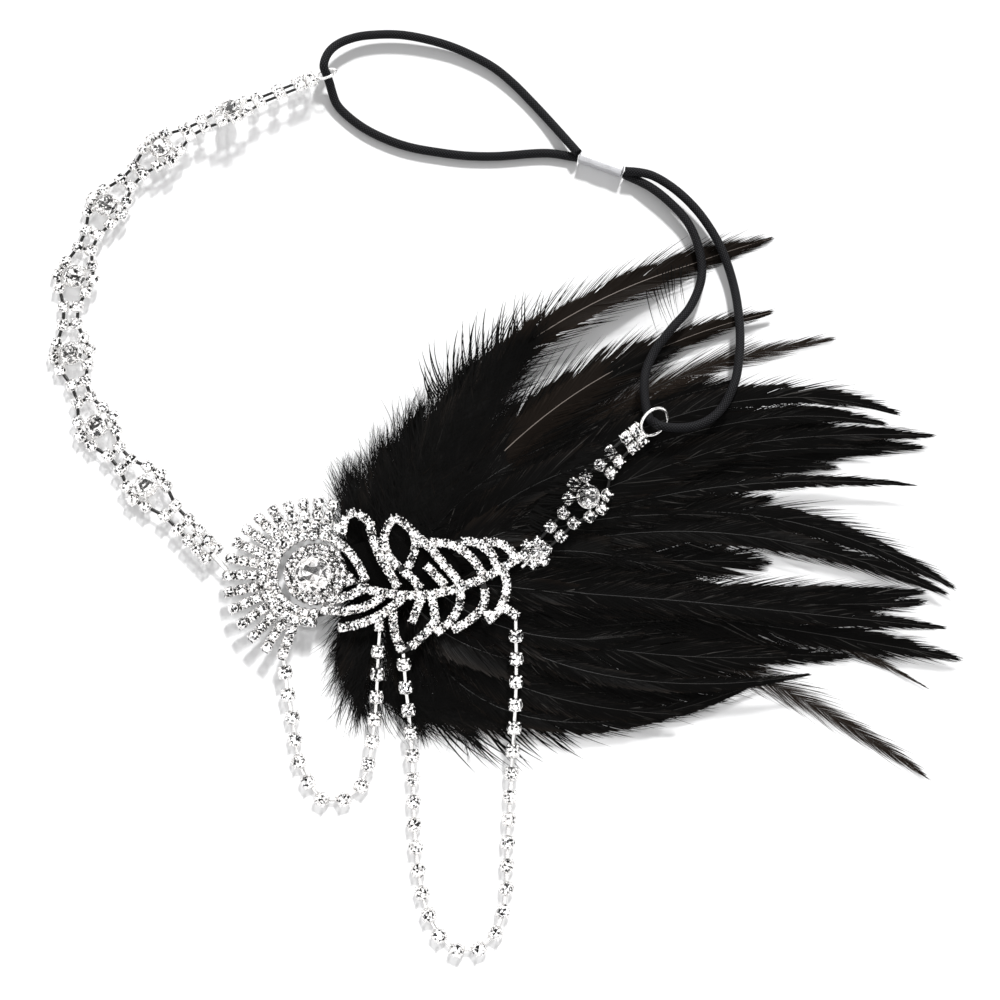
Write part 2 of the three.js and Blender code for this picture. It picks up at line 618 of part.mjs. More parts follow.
headpiece.add(ornament());
headpiece.add(named('band_chain', geometryOf(band.solid), SILVER));
band.largePlaces.forEach((place, i) => {
  headpiece.add(named(`band_stone_${i + 1}`, bigStone().applyMatrix4(place), CRYSTAL));
});
headpiece.add(named('side_chain', geometryOf(side.solid), SILVER));
headpiece.add(named('side_stone', bigStone().applyMatrix4(side.largePlaces[0]), CRYSTAL));
headpiece.add(named('swag_short', geometryOf(swagChain(SWAG_SHORT)), SILVER));
headpiece.add(named('swag_long', geometryOf(swagChain(SWAG_LONG)), SILVER));
headpiece.add(named('plume', geometryOf(plume()), FEATHER));

// The origin is at the middle of the base of all but the elastic.
headpiece.updateMatrixWorld(true);
const box = new THREE.Box3().setFromObject(headpiece, true);
const middle = box.getCenter(new THREE.Vector3());

headpiece.add(named('elastic_left', elasticLoop(ELASTIC_LEFT, band.ring), BRAID));
headpiece.add(named('elastic_right', elasticLoop(ELASTIC_RIGHT, side.ring), BRAID));
headpiece.add(named('crimp', crimp(), STEEL));
headpiece.position.set(-middle.x, -middle.y, -box.min.z);

export default headpiece;
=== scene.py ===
"""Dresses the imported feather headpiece: its stones, chains, feathers and elastic, and the stage it lies on.

Places are in layout millimetres, from the centre of the ornament's eye, with +X along its quill, +Y towards
the elastic and +Z up. They become metres in the row frame when a piece's mesh is made.
"""

import math
from types import SimpleNamespace

import bpy
import numpy as np
from bpy.props import FloatProperty, FloatVectorProperty, IntProperty, PointerProperty
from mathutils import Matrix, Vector


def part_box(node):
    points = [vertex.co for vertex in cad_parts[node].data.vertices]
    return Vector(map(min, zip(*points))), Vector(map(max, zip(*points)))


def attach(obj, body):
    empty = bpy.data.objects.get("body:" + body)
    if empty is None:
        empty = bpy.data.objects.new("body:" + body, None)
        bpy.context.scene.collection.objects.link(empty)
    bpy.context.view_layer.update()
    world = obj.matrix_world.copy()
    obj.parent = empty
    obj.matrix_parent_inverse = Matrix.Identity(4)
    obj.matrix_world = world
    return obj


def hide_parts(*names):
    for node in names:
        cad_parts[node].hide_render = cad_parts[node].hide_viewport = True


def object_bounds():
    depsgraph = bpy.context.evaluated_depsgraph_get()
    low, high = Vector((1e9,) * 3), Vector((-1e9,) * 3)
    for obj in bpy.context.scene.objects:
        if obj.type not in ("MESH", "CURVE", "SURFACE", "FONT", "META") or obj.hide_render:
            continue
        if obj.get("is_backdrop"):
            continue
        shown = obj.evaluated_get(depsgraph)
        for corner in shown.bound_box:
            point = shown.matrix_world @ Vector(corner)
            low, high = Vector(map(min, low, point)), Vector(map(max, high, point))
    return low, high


bl_info = {
    "name": "Feather headpiece",
    "version": (1, 0, 0),
    "blender": (4, 5, 0),
    "location": "View3D > Sidebar > Headpiece",
    "description": "Builds the stones, chains, feathers and elastic of a headpiece on its packed solids",
    "category": "Object",
}

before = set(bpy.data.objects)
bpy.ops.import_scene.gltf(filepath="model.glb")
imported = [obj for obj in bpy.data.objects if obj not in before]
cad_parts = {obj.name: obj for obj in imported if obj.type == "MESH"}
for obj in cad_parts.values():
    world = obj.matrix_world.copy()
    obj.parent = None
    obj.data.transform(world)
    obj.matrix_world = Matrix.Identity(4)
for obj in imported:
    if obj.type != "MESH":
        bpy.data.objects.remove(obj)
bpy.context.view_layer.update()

# The layout, as in the part's source

GAP = 0.3
ORNAMENT = SimpleNamespace(back=5.5, tilt=math.radians(-4), depth=2.0)
FAN = SimpleNamespace(
    rays=16, first=75, last=250, root=13.0, shortest=23.6, longest=27.2, grow_from=0.1, grow_to=0.62,
    stone=1.08,
)
FAN_ARCS = [(11.95, 70, 292), (14.6, 256, 274), (15.6, 62, 70)]  # radius, and first and last angle in degrees
EYE = SimpleNamespace(halo=8.6, point=13.2, turn=math.radians(-9.6), floor=0.6)
EYE_STONE = SimpleNamespace(girdle=5.3, table=3.0, low=0.9, middle=2.4, top=4.6)
HALO_RINGS = [(5.85, 0.42, 0.0), (7.1, 0.6, 0.4), (8.6, 0.62, 0.8)]  # radius, stones' size, and shift along X
HALO = SimpleNamespace(size=0.62, point=(-2.6, 0.0, 2.6))
TRILLION = SimpleNamespace(at=(52.6, -13.4), radius=3.1, turn=math.radians(30))

STONE = SimpleNamespace(girdle=1.8, middle=1.8, top=2.8)
SWAG_STONE = SimpleNamespace(girdle=2.1, middle=1.9, top=3.0)
BIG_CUP = SimpleNamespace(foot=2.7, rim=3.7, lip=3.3, height=2.2, floor=0.6)
BIG_STONE = SimpleNamespace(girdle=3.4, table=1.9, low=0.95, middle=2.6, top=4.3)
LINK = SimpleNamespace(height=1.15, wide=1.05, swag_wide=1.3, thick=0.8)
LUG = (1.1, 1.1)  # width and thickness
TONGUE = (1.6, 0.6)

PAIR_HALF = 2.2
BLOCK_STEP = 3.8
PAIR = [(0, PAIR_HALF)]
RING_BLOCK = [(step * BLOCK_STEP, PAIR_HALF) for step in (-0.5, 0.5)]
FAN_BLOCK = [(step * BLOCK_STEP, PAIR_HALF) for step in (-1, 0, 1)]
CLUSTER = [(-4.2, 4.3), (0, 5.75), (4.2, 4.3)]
ROSETTE = [(-2.9, 1.65), (0, 3.3), (2.9, 1.65)]

BAND = SimpleNamespace(
    centre=(-8, 80), radius=66.5, start=math.radians(113), end=math.radians(223.5), straight_ring=39.7,
    straight_fan=42, lean_ring=math.radians(50), lean_middle=math.radians(16), lean_fan=math.radians(5),
    lean_from=25, lean_to=72, reach=6.8, rise_fan=1.9, rise_over=90,
    cluster=31.3, clusters=7, pitch=24.25, pairs=(9.4, 14.9),
    ring_block=7.2, ring_pairs=(15.6, 22.4), fan_pairs=(187.3, 193.1), fan_block=201.5, tongue=7.1,
    ring_radius=3.1, ring_lug=2.4,
)
BAND_LENGTH = BAND.straight_ring + BAND.radius * (BAND.end - BAND.start) + BAND.straight_fan
SIDE = SimpleNamespace(
    route=[(65.8, 6.2, 6.7), (81.5, 23.8, 9.2), (88.5, 35, 10.3), (100.8, 46.1, 11.4)],
    lean_tip=0.0, lean_ring=math.radians(48),
    rosette=0, cluster=23, pairs=(8.9, 14.4, 32.8, 37.6), block=45.8, tongue=6, tongue_lift=2.2,
    ring_radius=4.1, ring_lug=2.0,
)

SWAG_PITCH = 6.9
SWAG_SHORT = [
    (-8.9, -22.5, 3.3), (-7.6, -34, 1.2), (-5.8, -43, 0), (-3.4, -57, 0), (4.5, -67.5, 0),
    (14, -63.5, 0), (17.4, -51, 1.4), (18.8, -38, 2.2), (19.3, -25, 4), (19.8, -16.6, 5.3),
]
SWAG_LONG = [
    (26.6, -20.5, 5.8), (27.5, -33, 4), (29, -46, 2.2), (29.8, -60, 0.1), (30.4, -78, 0), (32.8, -95, 0),
    (37.6, -107, 0), (45.5, -112, 0), (53.4, -107.4, 0), (56.8, -97, 0), (57.6, -80, 0), (58.6, -63, 0.2),
    (59.5, -47, 3.6), (60.2, -32, 5.8), (60, -12.4, 8.1),
]

CRIMP = SimpleNamespace(
    start=(79.5, 132.0), end=(93.1, 126.9), wide=2.7, tall=5.4, wall=0.32, press=0.16, press_at=0.22,
    press_wide=0.07, roll=0.2, roll_back=0.25, sides=40,
)
BRAID = SimpleNamespace(sides=16, step=0.8, plaits=8)
THREADING = 2.6
ELASTIC_LEFT = SimpleNamespace(
    before=[
        (79.2, 132.1, 1.35), (70, 133.5, 1.4), (54, 132.5, 1.4), (45, 132.7, 1.4), (37, 133.7, 1.4),
        (28, 135.4, 1.4), (21, 137.8, 1.4), (14, 141.4, 1.4), (8.6, 145.6, 1.4), (5.2, 149.4, 1.8),
    ],
    after=[
        (2.6, 163.7, 7), (5.8, 167.6, 5.2), (11.2, 170.2, 4), (17, 171.2, 3.4), (24.2, 171.3, 3.2),
        (31.1, 170.3, 2.9), (39.6, 168, 2.4), (46.4, 165.1, 2.1), (53.8, 160.8, 1.9), (59.5, 155.9, 1.7),
        (65.2, 149.9, 1.5), (70.8, 143.4, 1.9), (79.3, 132.6, 4.05),
    ],
)
ELASTIC_RIGHT = SimpleNamespace(
    before=[
        (93.4, 126.7, 1.35), (97.4, 124.4, 2.4), (101.6, 121.8, 3.2), (107.2, 117, 3.4), (112.2, 111.2, 3.3),
        (115.6, 103.4, 3), (116.6, 94, 2.9), (113, 83.6, 5), (106.6, 75.2, 7.6), (101, 67, 7.8),
        (98.6, 58.5, 9.4),
    ],
    after=[
        (108, 43.4, 13.2), (115, 45, 11.2), (121, 49.4, 9.9), (125.6, 58, 9.8), (127.4, 68, 8),
        (127.7, 78, 5.4), (126.2, 91, 2.9), (122.6, 102.4, 3.2), (117.6, 111.4, 3.5),
        (112.5, 117.6, 3.8), (107.2, 122.2, 4), (101.8, 125.4, 4.2), (98, 126.4, 4.2), (93.5, 126.9, 4.05),
    ],
)

# The ornament's rows of stones: where each starts, what it passes half way, and where it ends
ROWS = [
    ((13, -3.4), (38, -6.2), (64, 6)),
    ((2, 12.2), (10.3, 7), (15.8, -2.4)),
    ((8.4, 11.6), (11.4, 18.4), (17.6, 14.4)),
    ((17.2, 15.2), (19.3, 6.4), (25.6, -4.4)),
    ((24.4, 17.2), (21.3, 9.4), (25.6, 1.6)),
    ((23.8, 17), (30.2, 10.6), (28, 1.4)),
    ((24.6, 2.6), (28.7, -1), (32.2, -4.8)),
    ((33.4, 2.2), (36.4, -0.8), (39.4, -4.2)),
    ((28, 14), (36, 6), (43.8, -3.6)),
    ((33.6, 8.8), (43.4, 7.2), (50.6, -1)),
    ((41, 8.6), (49.6, 8.2), (55, 1.4)),
    ((48.6, 8.6), (56, 8.2), (60.2, 3.6)),
    ((4.6, -8.4), (9.6, -7), (15, -5)),
    ((2.6, -10.6), (12.6, -11), (20.8, -7)),
    ((7.6, -16.4), (18, -13.8), (26.8, -7.6)),
    ((24.4, -8.4), (24.3, -16.8), (27, -23.8)),
    ((26.2, -23.6), (31.8, -20.2), (36.6, -14.4)),
    ((32.6, -7.2), (31, -11.2), (29.4, -15.4)),
    ((35.4, -7), (36, -10.6), (36.6, -15.4)),
    ((43.8, -5.4), (42.6, -12.4), (36.4, -18.6)),
    ((50, -2.4), (50.2, -11), (41.4, -17.6)),
    ((56.4, 0.6), (57.2, -8), (51.8, -15.2)),
    ((19.8, -12.6), (19.8, -14.8), (19.8, -17.4)),
    ((56, -10.4), (58.4, -12), (61.2, -14)),
]

# The plume's feathers: root, half way and tip in plan, greatest width, and layer from the table up
PAD = SimpleNamespace(centre=(24, 1), half=(20, 10.5), sides=48)
PLUME = SimpleNamespace(thick=1.3, layer=1.4, spread=0.8, flat=40, spread_over=50, middle=(28, 0))
HACKLES = [
    ((38, 52), (87.8, 86), (139.5, 106.8), 15, 0),
    ((33, 5), (88, 52), (158.5, 75), 13, 0),
    ((34, 0), (80, 5), (137, 5), 27, 0),
    ((34, -4), (109.4, -4.4), (184.7, -34.6), 8, 0),
    ((33, -6), (108, -19.7), (182.9, -60.9), 15, 0),
    ((29, 5), (78, 56), (139.5, 82.8), 15, 1),
    ((34, 2), (106, 36), (187.5, 43.5), 14, 1),
    ((36, -1), (117, 20), (192.5, -4.5), 15, 1),
    ((35, -4), (114, -12), (193.5, -25), 19, 1),
    ((26, -6), (64, -42.5), (134, -31), 10, 1),
    ((29, 4), (62, 43), (110, 71), 24, 2),
    ((34, 3), (110, 43), (173, 46), 14, 2),
    ((36, 1), (108, 25), (182, 27.5), 9, 2),
    ((38, -2), (110, -8), (183, -8), 17, 2),
    ((33, -4), (80, -21), (142, -24.5), 25, 2),
    ((28, -6), (58, -32), (110, -42), 14, 2),
    ((34, 4), (110, 49), (176.6, 48.6), 15, 3),
    ((34, 2), (76, 22), (132, 42), 20, 3),
    ((38, -2), (115, -9), (189, -16.5), 13, 3),
    ((36, -4), (84, -30), (148.5, -30), 9, 3),
    ((34, 2), (105, 33), (170, 39), 12, 1),
    ((34, 3), (104, 40), (172, 42), 22, 0),
    ((34, 2), (96, 28), (158, 34.5), 17, 0),
    ((36, 0), (86, 15), (138, 25), 18, 0),
    ((36, -2), (113, 13.8), (190, -6), 15, 1),
    ((30, -5), (74, -30), (130, -31), 18, 0),
    ((34, 2), (108, 32.5), (184.5, 40.5), 17, 0),
    ((38, -2), (112, -6), (183.5, -4.2), 15, 1),
    ((33, 5), (80, 43), (128, 61), 20, 0),
    ((33, -5), (96, -18.5), (161, -23.6), 16, 0),
]
SHEER = (1, 3, 4)  # which of them are thin and let light through
LONE = (0, *SHEER, 26, 27, 28, 29)  # which have no shorter feathers laid in
LOCKS = [
    ((14, 5), (12, 19), (11, 31), 13, 0),
    ((22, 6), (26, 33), (31, 51), 18, 0),
    ((14, -6), (10, -17), (9, -29), 9, 0),
    ((19, -7), (14, -26), (15, -41), 13, 0),
    ((23, -7), (28, -28), (32, -43), 14, 0),
    ((27, -6), (40, -32), (48, -47), 12, 0),
    ((17, 6), (19, 24), (21, 39), 17, 1),
    ((24, 6), (42, 41), (66, 73), 22, 4),
    ((24, 6), (35, 38), (47, 65), 16, 3),
    ((16, -30), (40, -38), (84, -40), 16, 0),
]
COMBS = [
    (
        ((34, 54), (49, 63.5), (71, 76.5), 26, 3),
        dict(sides=[1.0], per_mm=1.4, tuft=4, wide=82, close=46, longest=18, part=0.16, half_width=0.28),
    ),
    (
        ((25, -36), (47, -40), (72, -41), 24, 0),
        dict(sides=[-1.0], per_mm=1.1, tuft=6, wide=66, close=38, longest=28, part=0.2, half_width=0.36),
    ),
    (
        ((63, 14), (72, 27), (82, 38), 20, 8.7),
        dict(sides=[-1.0], per_mm=2.0, tuft=2, wide=74, close=50, longest=15, part=0.2, half_width=0.22),
    ),
    (
        ((98, 92.5), (105.5, 96), (113.5, 98.8), 24, 1.2),
        dict(
            sides=[-1.0], per_mm=0.9, tuft=4, wide=106, close=112, longest=19, part=0.03, half_width=0.15,
            bend=0.12,
        ),
    ),
]
RAISED = {0: 7.0, 5: 2.5}  # feathers that arch up off the table, and how far

# How a feather's barbs lie, with lengths in millimetres, and the angles wide and close in degrees
BARBS = dict(
    per_mm=1.0, first=0.0, last=0.97, scatter=0.0, tuft=7, wide=44, close=9, stray=0.05, part=0.07,
    ragged=0.1, reach=1.0, comb=0.0, longest=40, tail=0.6, brush=1.0, steps=5, bend=0.5, point=0.0, curl=0.0,
    rise=0.0, lift=0.3, droop=0.1, blunt=3.0, slat=0.25, half_width=0.17, sides=(1.0, -1.0),
)
VANE_STYLE = dict(
    per_mm=1.2, first=0.03, last=0.985, tuft=14, wide=38, stray=0.0, part=0.08, ragged=0.05, brush=0.35,
    bend=0.55, point=1.0,
)
EDGE_STYLE = dict(
    first=0.05, reach=1.05, comb=0.55, longest=42, tail=0.8, brush=0.5, point=1.0, curl=0.04, rise=0.3,
    lift=0.35, droop=0.08,
)
LOCK_STYLE = dict(
    per_mm=10.0, last=0.98, scatter=0.9, tuft=5, wide=42, close=20, stray=0.3, part=0.4, ragged=0.2,
    reach=0.95, longest=18, tail=9.0, steps=6, bend=0.3, curl=0.35, rise=1.0, lift=1.4, slat=0.3,
    half_width=0.12,
)
COMB_STYLE = dict(
    scatter=0.1, ragged=0.25, reach=1.4, tail=16.0, steps=7, bend=0.35, curl=0.1, rise=0.6, lift=0.8,
    droop=0.02, blunt=6.0, slat=0.2,
)
QUILL_RADIUS = 0.24

# Long feathers and the shorter ones laid in: rise in millimetres, turn in radians, and shares of their sizes
HACKLE = SimpleNamespace(lift=(0.4, 1.6), vane=0.85, fringe=1.04)
FILLER = SimpleNamespace(turn=0.04, size=(0.4, 0.62), wide=1.3, lift=0.7)
LOCK_LIFT = 2.0
COMB_LIFT = 0.5

# The ornament's set stones in millimetres, with apart as a share of their pitch, and lean in radians
PAVE = SimpleNamespace(spine=1.7, apart=0.52, middle=1.85, top=2.75, bead_height=0.8, lean=0.25)
CHAIN_LEAN = 0.12  # the most by which a chain's stones lean, in radians

# The order of the finishes on cups and chains
# The third is near-black silver, painted shade
METAL, FOIL, PAINTED_SHADE = range(3)

# The camera, which looks at the photograph's middle, and the light
VIEW = SimpleNamespace(target=(55.4, 24.5, 0), elevation=math.radians(76), distance=1250, lens=150, sensor=36)
KEY = SimpleNamespace(way=(0.24, 0.84, 0.86), angle=math.radians(7))  # the way to the light, and its width
FLOOR = SimpleNamespace(reach=4.0, below=0.0002)  # in metres
STUDIO = SimpleNamespace(scale=3.2, stops=((0.4, 0.04), (0.48, 2.9)))  # gaps and panels, and their greys
JEWEL_SHADOW = 0.32  # how dark the shadow of stones and metal is, as they throw much of the light on

MM = 0.001
UP = np.array([0.0, 0.0, 1.0])
SEED = 5


def row_origin():
    """The layout's origin in the row frame, in metres: the crimp's middle there, less that in the layout."""
    low, high = (np.array(corner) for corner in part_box("crimp"))
    middle = (np.array(CRIMP.start) + np.array(CRIMP.end)) / 2
    return np.array([*((low + high)[:2] / 2 - middle * MM), low[2]])


ORIGIN = row_origin()


def in_row(points):
    """Layout millimetres as metres in the row frame."""
    return np.asarray(points, float) * MM + ORIGIN


# Curves


def unit(vectors):
    return vectors / np.linalg.norm(vectors, axis=-1, keepdims=True)


def ramp(values, low, high):
    """A smooth step from 0 at low to 1 at high: three squares less two cubes of the share between them."""
    share = np.clip((values - low) / (high - low), 0, 1)
    return share * share * (3 - 2 * share)


def around(count):
    """Even angles round a full turn."""
    return np.linspace(0, 2 * np.pi, count, endpoint=False)


def flat(angle):
    """Directions in plan, from angles."""
    return np.stack([np.cos(angle), np.sin(angle)], -1)


class Path:
    """A line through close points, read by the distance along it."""

    def __init__(self, points):
        self.points = np.asarray(points, float)
        steps = np.linalg.norm(np.diff(self.points, axis=0), axis=1)
        self.distances = np.concatenate([[0.0], np.cumsum(steps)])
        self.length = self.distances[-1]

    def at(self, distances):
        return np.stack([np.interp(distances, self.distances, axis) for axis in self.points.T], -1)

    def along(self, distances):
        """Directions, from the points a little before and after each distance."""
        near = self.length / 200
        ahead = self.at(np.minimum(distances + near, self.length))
        return unit(ahead - self.at(np.maximum(distances - near, 0)))


def smooth_route(points, samples=30):
    """A curve through points, as cubics from each to the next.

    Their tangents come from knots that are spaced by the square root of the distance between the points, and
    the ends are carried on in line.
    """
    p = np.asarray(points, float)
    p = np.concatenate([[2 * p[0] - p[1]], p, [2 * p[-1] - p[-2]]])
    knots = np.linalg.norm(np.diff(p, axis=0), axis=1)[:, None] ** 0.5
    before, here, after = knots[:-2], knots[1:-1], knots[2:]
    a, b, c, d = p[:-3], p[1:-2], p[2:-1], p[3:]
    leave = ((b - a) / before - (c - a) / (before + here) + (c - b) / here) * here
    arrive = ((c - b) / here - (d - b) / (here + after) + (d - c) / after) * here
    t = np.linspace(0, 1, samples, endpoint=False)[:, None]
    square = 3 * (c - b) - 2 * leave - arrive
    cube = 2 * (b - c) + leave + arrive
    curve = b[:, None] + leave[:, None] * t + square[:, None] * t**2 + cube[:, None] * t**3
    return Path(np.concatenate([curve.reshape(-1, p.shape[1]), p[-2:-1]]))


def bowed(start, half, end, samples=60):
    """A quadratic curve from one place to another that passes a third half way."""
    start, half, end = (np.asarray(place, float) for place in (start, half, end))
    control = 2 * half - (start + end) / 2
    t = np.linspace(0, 1, samples)[:, None]
    return Path((1 - t) ** 2 * start + 2 * t * (1 - t) * control + t**2 * end)


# Meshes from arrays


def grid_faces(rows, columns, round_columns=False, round_rows=False):
    """The four-sided faces between neighbours of a grid of points that is stored row by row."""
    row = np.arange(rows if round_rows else rows - 1)[:, None]
    column = np.arange(columns if round_columns else columns - 1)[None, :]
    low, high = row * columns, (row + 1) % rows * columns
    next_column = (column + 1) % columns
    corners = np.broadcast_arrays(low + column, low + next_column, high + next_column, high + column)
    return np.stack(corners, -1).reshape(-1, 4)


def faces_from(*corners):
    """Sets of faces, each given by one array, or one number, for each of its corners."""
    return np.concatenate([np.stack(np.broadcast_arrays(*face), -1) for face in corners])


def repeated(faces, count, points_each):
    """A template's faces, once for each of a number of copies of its points."""
    steps = np.arange(count)[:, None, None] * points_each
    return (faces[None] + steps).reshape(-1, faces.shape[1])


def copies(points, axes, places):
    """A template's points at each place: coordinates times that place's three axes, added to the place."""
    return (np.einsum("pk,nkd->npd", points, axes) + places[:, None]).reshape(-1, 3)


class Piece:
    """The points, faces and UVs of one piece, gathered from several surfaces."""

    def __init__(self, name, slot, *materials):
        self.name, self.slot, self.materials = name, slot, materials
        self.points, self.faces, self.uv, self.smooth, self.finish = [], [], [], [], []
        self.count = 0

    def add(self, points, faces, uv=None, smooth=False, finish=0):
        points = np.asarray(points, float).reshape(-1, 3)
        self.points.append(points)
        self.uv.append(np.zeros((len(points), 2)) if uv is None else uv)
        self.add_faces(np.asarray(faces) + self.count, smooth, finish)
        self.count += len(points)

    def add_faces(self, faces, smooth=False, finish=0):
        """Faces between points of the piece. The finish is one number, or one for each face."""
        self.faces.extend(faces.tolist())
        self.smooth.append(np.full(len(faces), smooth))
        self.finish.append(np.broadcast_to(finish, len(faces)))

    def add_copies(self, template, axes, places, smooth=False, finish=0):
        points, faces = template
        every = repeated(faces, len(places), len(points))
        self.add(copies(points, axes, places), every, smooth=smooth, finish=finish)

    def build(self, *replaced):
        mesh = bpy.data.meshes.new(self.name)
        mesh.from_pydata(in_row(np.concatenate(self.points)), [], self.faces)
        mesh.polygons.foreach_set("use_smooth", np.concatenate(self.smooth))
        mesh.polygons.foreach_set("material_index", np.concatenate(self.finish))
        corners = np.zeros(len(mesh.loops), int)
        mesh.loops.foreach_get("vertex_index", corners)
        layer = mesh.uv_layers.new(name="UVMap")
        layer.data.foreach_set("uv", np.concatenate(self.uv)[corners].ravel())
        for material in self.materials:
            mesh.materials.append(material)
        mesh.update()
        piece = bpy.data.objects.new(self.name, mesh)
        bpy.context.scene.collection.objects.link(piece)
        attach(piece, "root")
        if replaced:
            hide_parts(*replaced)
        return piece


def tube(path, distances, radii, sides):
    """A round tube: at each distance a ring about the path, in the plane across it."""
    centre, along = path.at(distances), path.along(distances)
    side = unit(np.cross(UP, along))
    rise = np.cross(along, side)
    angle = around(sides)[None, :, None]
    circle = np.cos(angle) * side[:, None] + np.sin(angle) * rise[:, None]
    points = centre[:, None] + circle * np.broadcast_to(radii, len(distances))[:, None, None]
    return points.reshape(-1, 3), grid_faces(len(distances), sides, round_columns=True)


def hoop(radius, wire, turns=28, sides=8):
    """A ring of wire about +Z: a circle of the wire's radius carried round a circle of the ring's."""
    turn, angle = around(turns)[:, None], around(sides)[None, :]
    out = radius + wire * np.cos(angle)
    height = np.broadcast_to(wire * np.sin(angle), (turns, sides))
    points = np.stack([out * np.cos(turn), out * np.sin(turn), height], -1)
    return points.reshape(-1, 3), grid_faces(turns, sides, round_columns=True, round_rows=True)


def ring(count, radius, height=0.0, turn=0.0):
    """Points round a circle about +Z."""
    return np.column_stack([radius * flat(around(count) + turn), np.full(count, height)])


def turned(profile, sides):
    """A turned surface about +Z from a profile of radius and height."""
    points = np.concatenate([ring(sides, radius, height) for radius, height in profile])
    return points, grid_faces(len(profile), sides, round_columns=True)


# Cut stones and their settings


def star_cut(girdle, middle, top, sides=8):
    """A small foiled stone: facets from its girdle up to the table's edge, and a hollow star inside that.

    Three rings, each turned half a step from the last, stand at the girdle, on the crown and at the table's
    edge. The star's point is a little below the edge, so that its wedges show the light of the foil.
    """
    half = math.pi / sides
    rise = top - middle
    rings = [(girdle, middle, 0), (0.8 * girdle, middle + 0.6 * rise, half), (0.54 * girdle, top, 0)]
    points = [*(ring(sides, *one) for one in rings), [[0, 0, top - 0.15 * girdle]]]
    out = np.arange(sides)
    after = (out + 1) % sides
    crown, edge, point = sides, 2 * sides, 3 * sides
    faces = faces_from(
        (out, after, crown + out),
        (after, crown + after, crown + out),
        (crown + out, crown + after, edge + after),
        (crown + out, edge + after, edge + out),
        (edge + out, edge + after, point),
    )
    return np.concatenate(points), faces


def brilliant_cut(stone, sides=8):
    """A large clear stone: points, faces, and for each face a 0 on the crown or a 1 on the pavilion.

    The crown has a table, a star facet at each of its sides, kites down to the girdle and two facets between
    kites. The pavilion has two facets under each of the girdle's sides and a point.
    """
    half = math.pi / sides
    rise, deep = stone.top - stone.middle, stone.middle - stone.low
    star = stone.table + 0.42 * (stone.girdle - stone.table)
    points = np.concatenate(
        [
            ring(sides, stone.table, stone.top),
            ring(sides, star, stone.middle + 0.72 * rise, half),
            ring(2 * sides, stone.girdle, stone.middle + 0.04 * rise),
            ring(2 * sides, stone.girdle, stone.middle - 0.04 * rise),
            ring(sides, 0.42 * stone.girdle, stone.middle - 0.62 * deep, half),
            [[0, 0, stone.low], [0, 0, stone.top]],
        ]
    )
    table = np.arange(sides)
    after = (table + 1) % sides
    stars, girdle, girdle_after = sides + table, 2 * sides + 2 * table, 2 * sides + 2 * after
    between = girdle + 1
    low, low_between, low_after = (2 * sides + place for place in (girdle, between, girdle_after))
    deeps, deeps_after = 6 * sides + table, 6 * sides + after
    culet, middle = 7 * sides, 7 * sides + 1
    crown = faces_from(
        (middle, table, after),
        (table, stars, after),
        (table, girdle, stars),
        (after, stars, girdle_after),
        (stars, girdle, between),
        (stars, between, girdle_after),
        (girdle, low, low_between),
        (girdle, low_between, between),
        (between, low_between, low_after),
        (between, low_after, girdle_after),
    )
    pavilion = faces_from(
        (low, deeps, low_between),
        (low_between, deeps, low_after),
        (low_after, deeps, deeps_after),
        (deeps, culet, deeps_after),
    )
    return points, np.concatenate([crown, pavilion]), np.repeat([0, 1], [len(crown), len(pavilion)])


def claw(foot, shoulder, tip, width):
    """A prong in the X-Z plane: a four-sided bar through its foot, shoulder and tip, thinner at the tip."""
    foot, shoulder, tip = (np.array(place) for place in (foot, shoulder, tip))
    spine = np.array([foot, shoulder, 0.45 * shoulder + 0.55 * tip, tip])
    taper = np.array([1, 1, 0.85, 0.5])[:, None] * width / 2
    along = unit(np.gradient(spine, axis=0))
    out, aside = np.array([(1, 1), (1, -1), (-1, -1), (-1, 1)]).T[:, None]
    thick = 0.8 * out * taper
    x, z = spine[:, :1] - along[:, 1:] * thick, spine[:, 1:] + along[:, :1] * thick
    points = np.stack([x, aside * taper, z], -1)
    last = 4 * (len(spine) - 1) + np.arange(4)
    return points.reshape(-1, 3), np.concatenate([grid_faces(len(spine), 4, round_columns=True), last[None]])


def turned_copies(template, count, first):
    """A template turned about +Z to a number of even places."""
    points, faces = template
    across = ring(count, 1.0, turn=first + math.pi / 2)
    axes = np.stack([ring(count, 1.0, turn=first), across, np.tile(UP, (count, 1))], 1)
    return copies(points, axes, np.zeros((count, 3))), repeated(faces, count, len(points))


def joined(*templates):
    """Several templates as one."""
    offsets = np.cumsum([0, *[len(points) for points, _ in templates]])
    faces = [faces + start for (_, faces), start in zip(templates, offsets)]
    return np.concatenate([points for points, _ in templates]), np.concatenate(faces)


def prong_cup(girdle, middle, top, prongs=4):
    """A stone's cup, with claws bent over its girdle."""
    profile = [(0.5, 0), (0.98, 0.35), (1.1, 0.92), (0.95, 1)]
    wall = turned([(wide * girdle, high * middle) for wide, high in profile], 10)
    rise = top - middle
    shoulder, tip = (1.08 * girdle, middle + 0.35 * rise), (0.74 * girdle, middle + 0.85 * rise)
    bent = claw((1.05 * girdle, 0.3 * middle), shoulder, tip, 0.36 * girdle)
    return joined(wall, turned_copies(bent, prongs, math.pi / prongs))


def bead(radius, height, sides):
    """A small dome of metal that is pushed over a stone's edge."""
    profile = [(1, 0), (0.82, 0.55), (0.4, 0.92), (0, 1)]
    return turned([(wide * radius, high * height) for wide, high in profile], sides)


def link_bar(sides=6, stations=((0, 0.7), (0.12, 1), (0.88, 1), (1, 0.7))):
    """A link of unit length, width and thickness along +X, with a rounded section and drawn-in ends."""
    sections = [ring(sides, size / 2, x)[:, [2, 0, 1]] for x, size in stations]
    return np.concatenate(sections), grid_faces(len(stations), sides, round_columns=True)


# Finishes


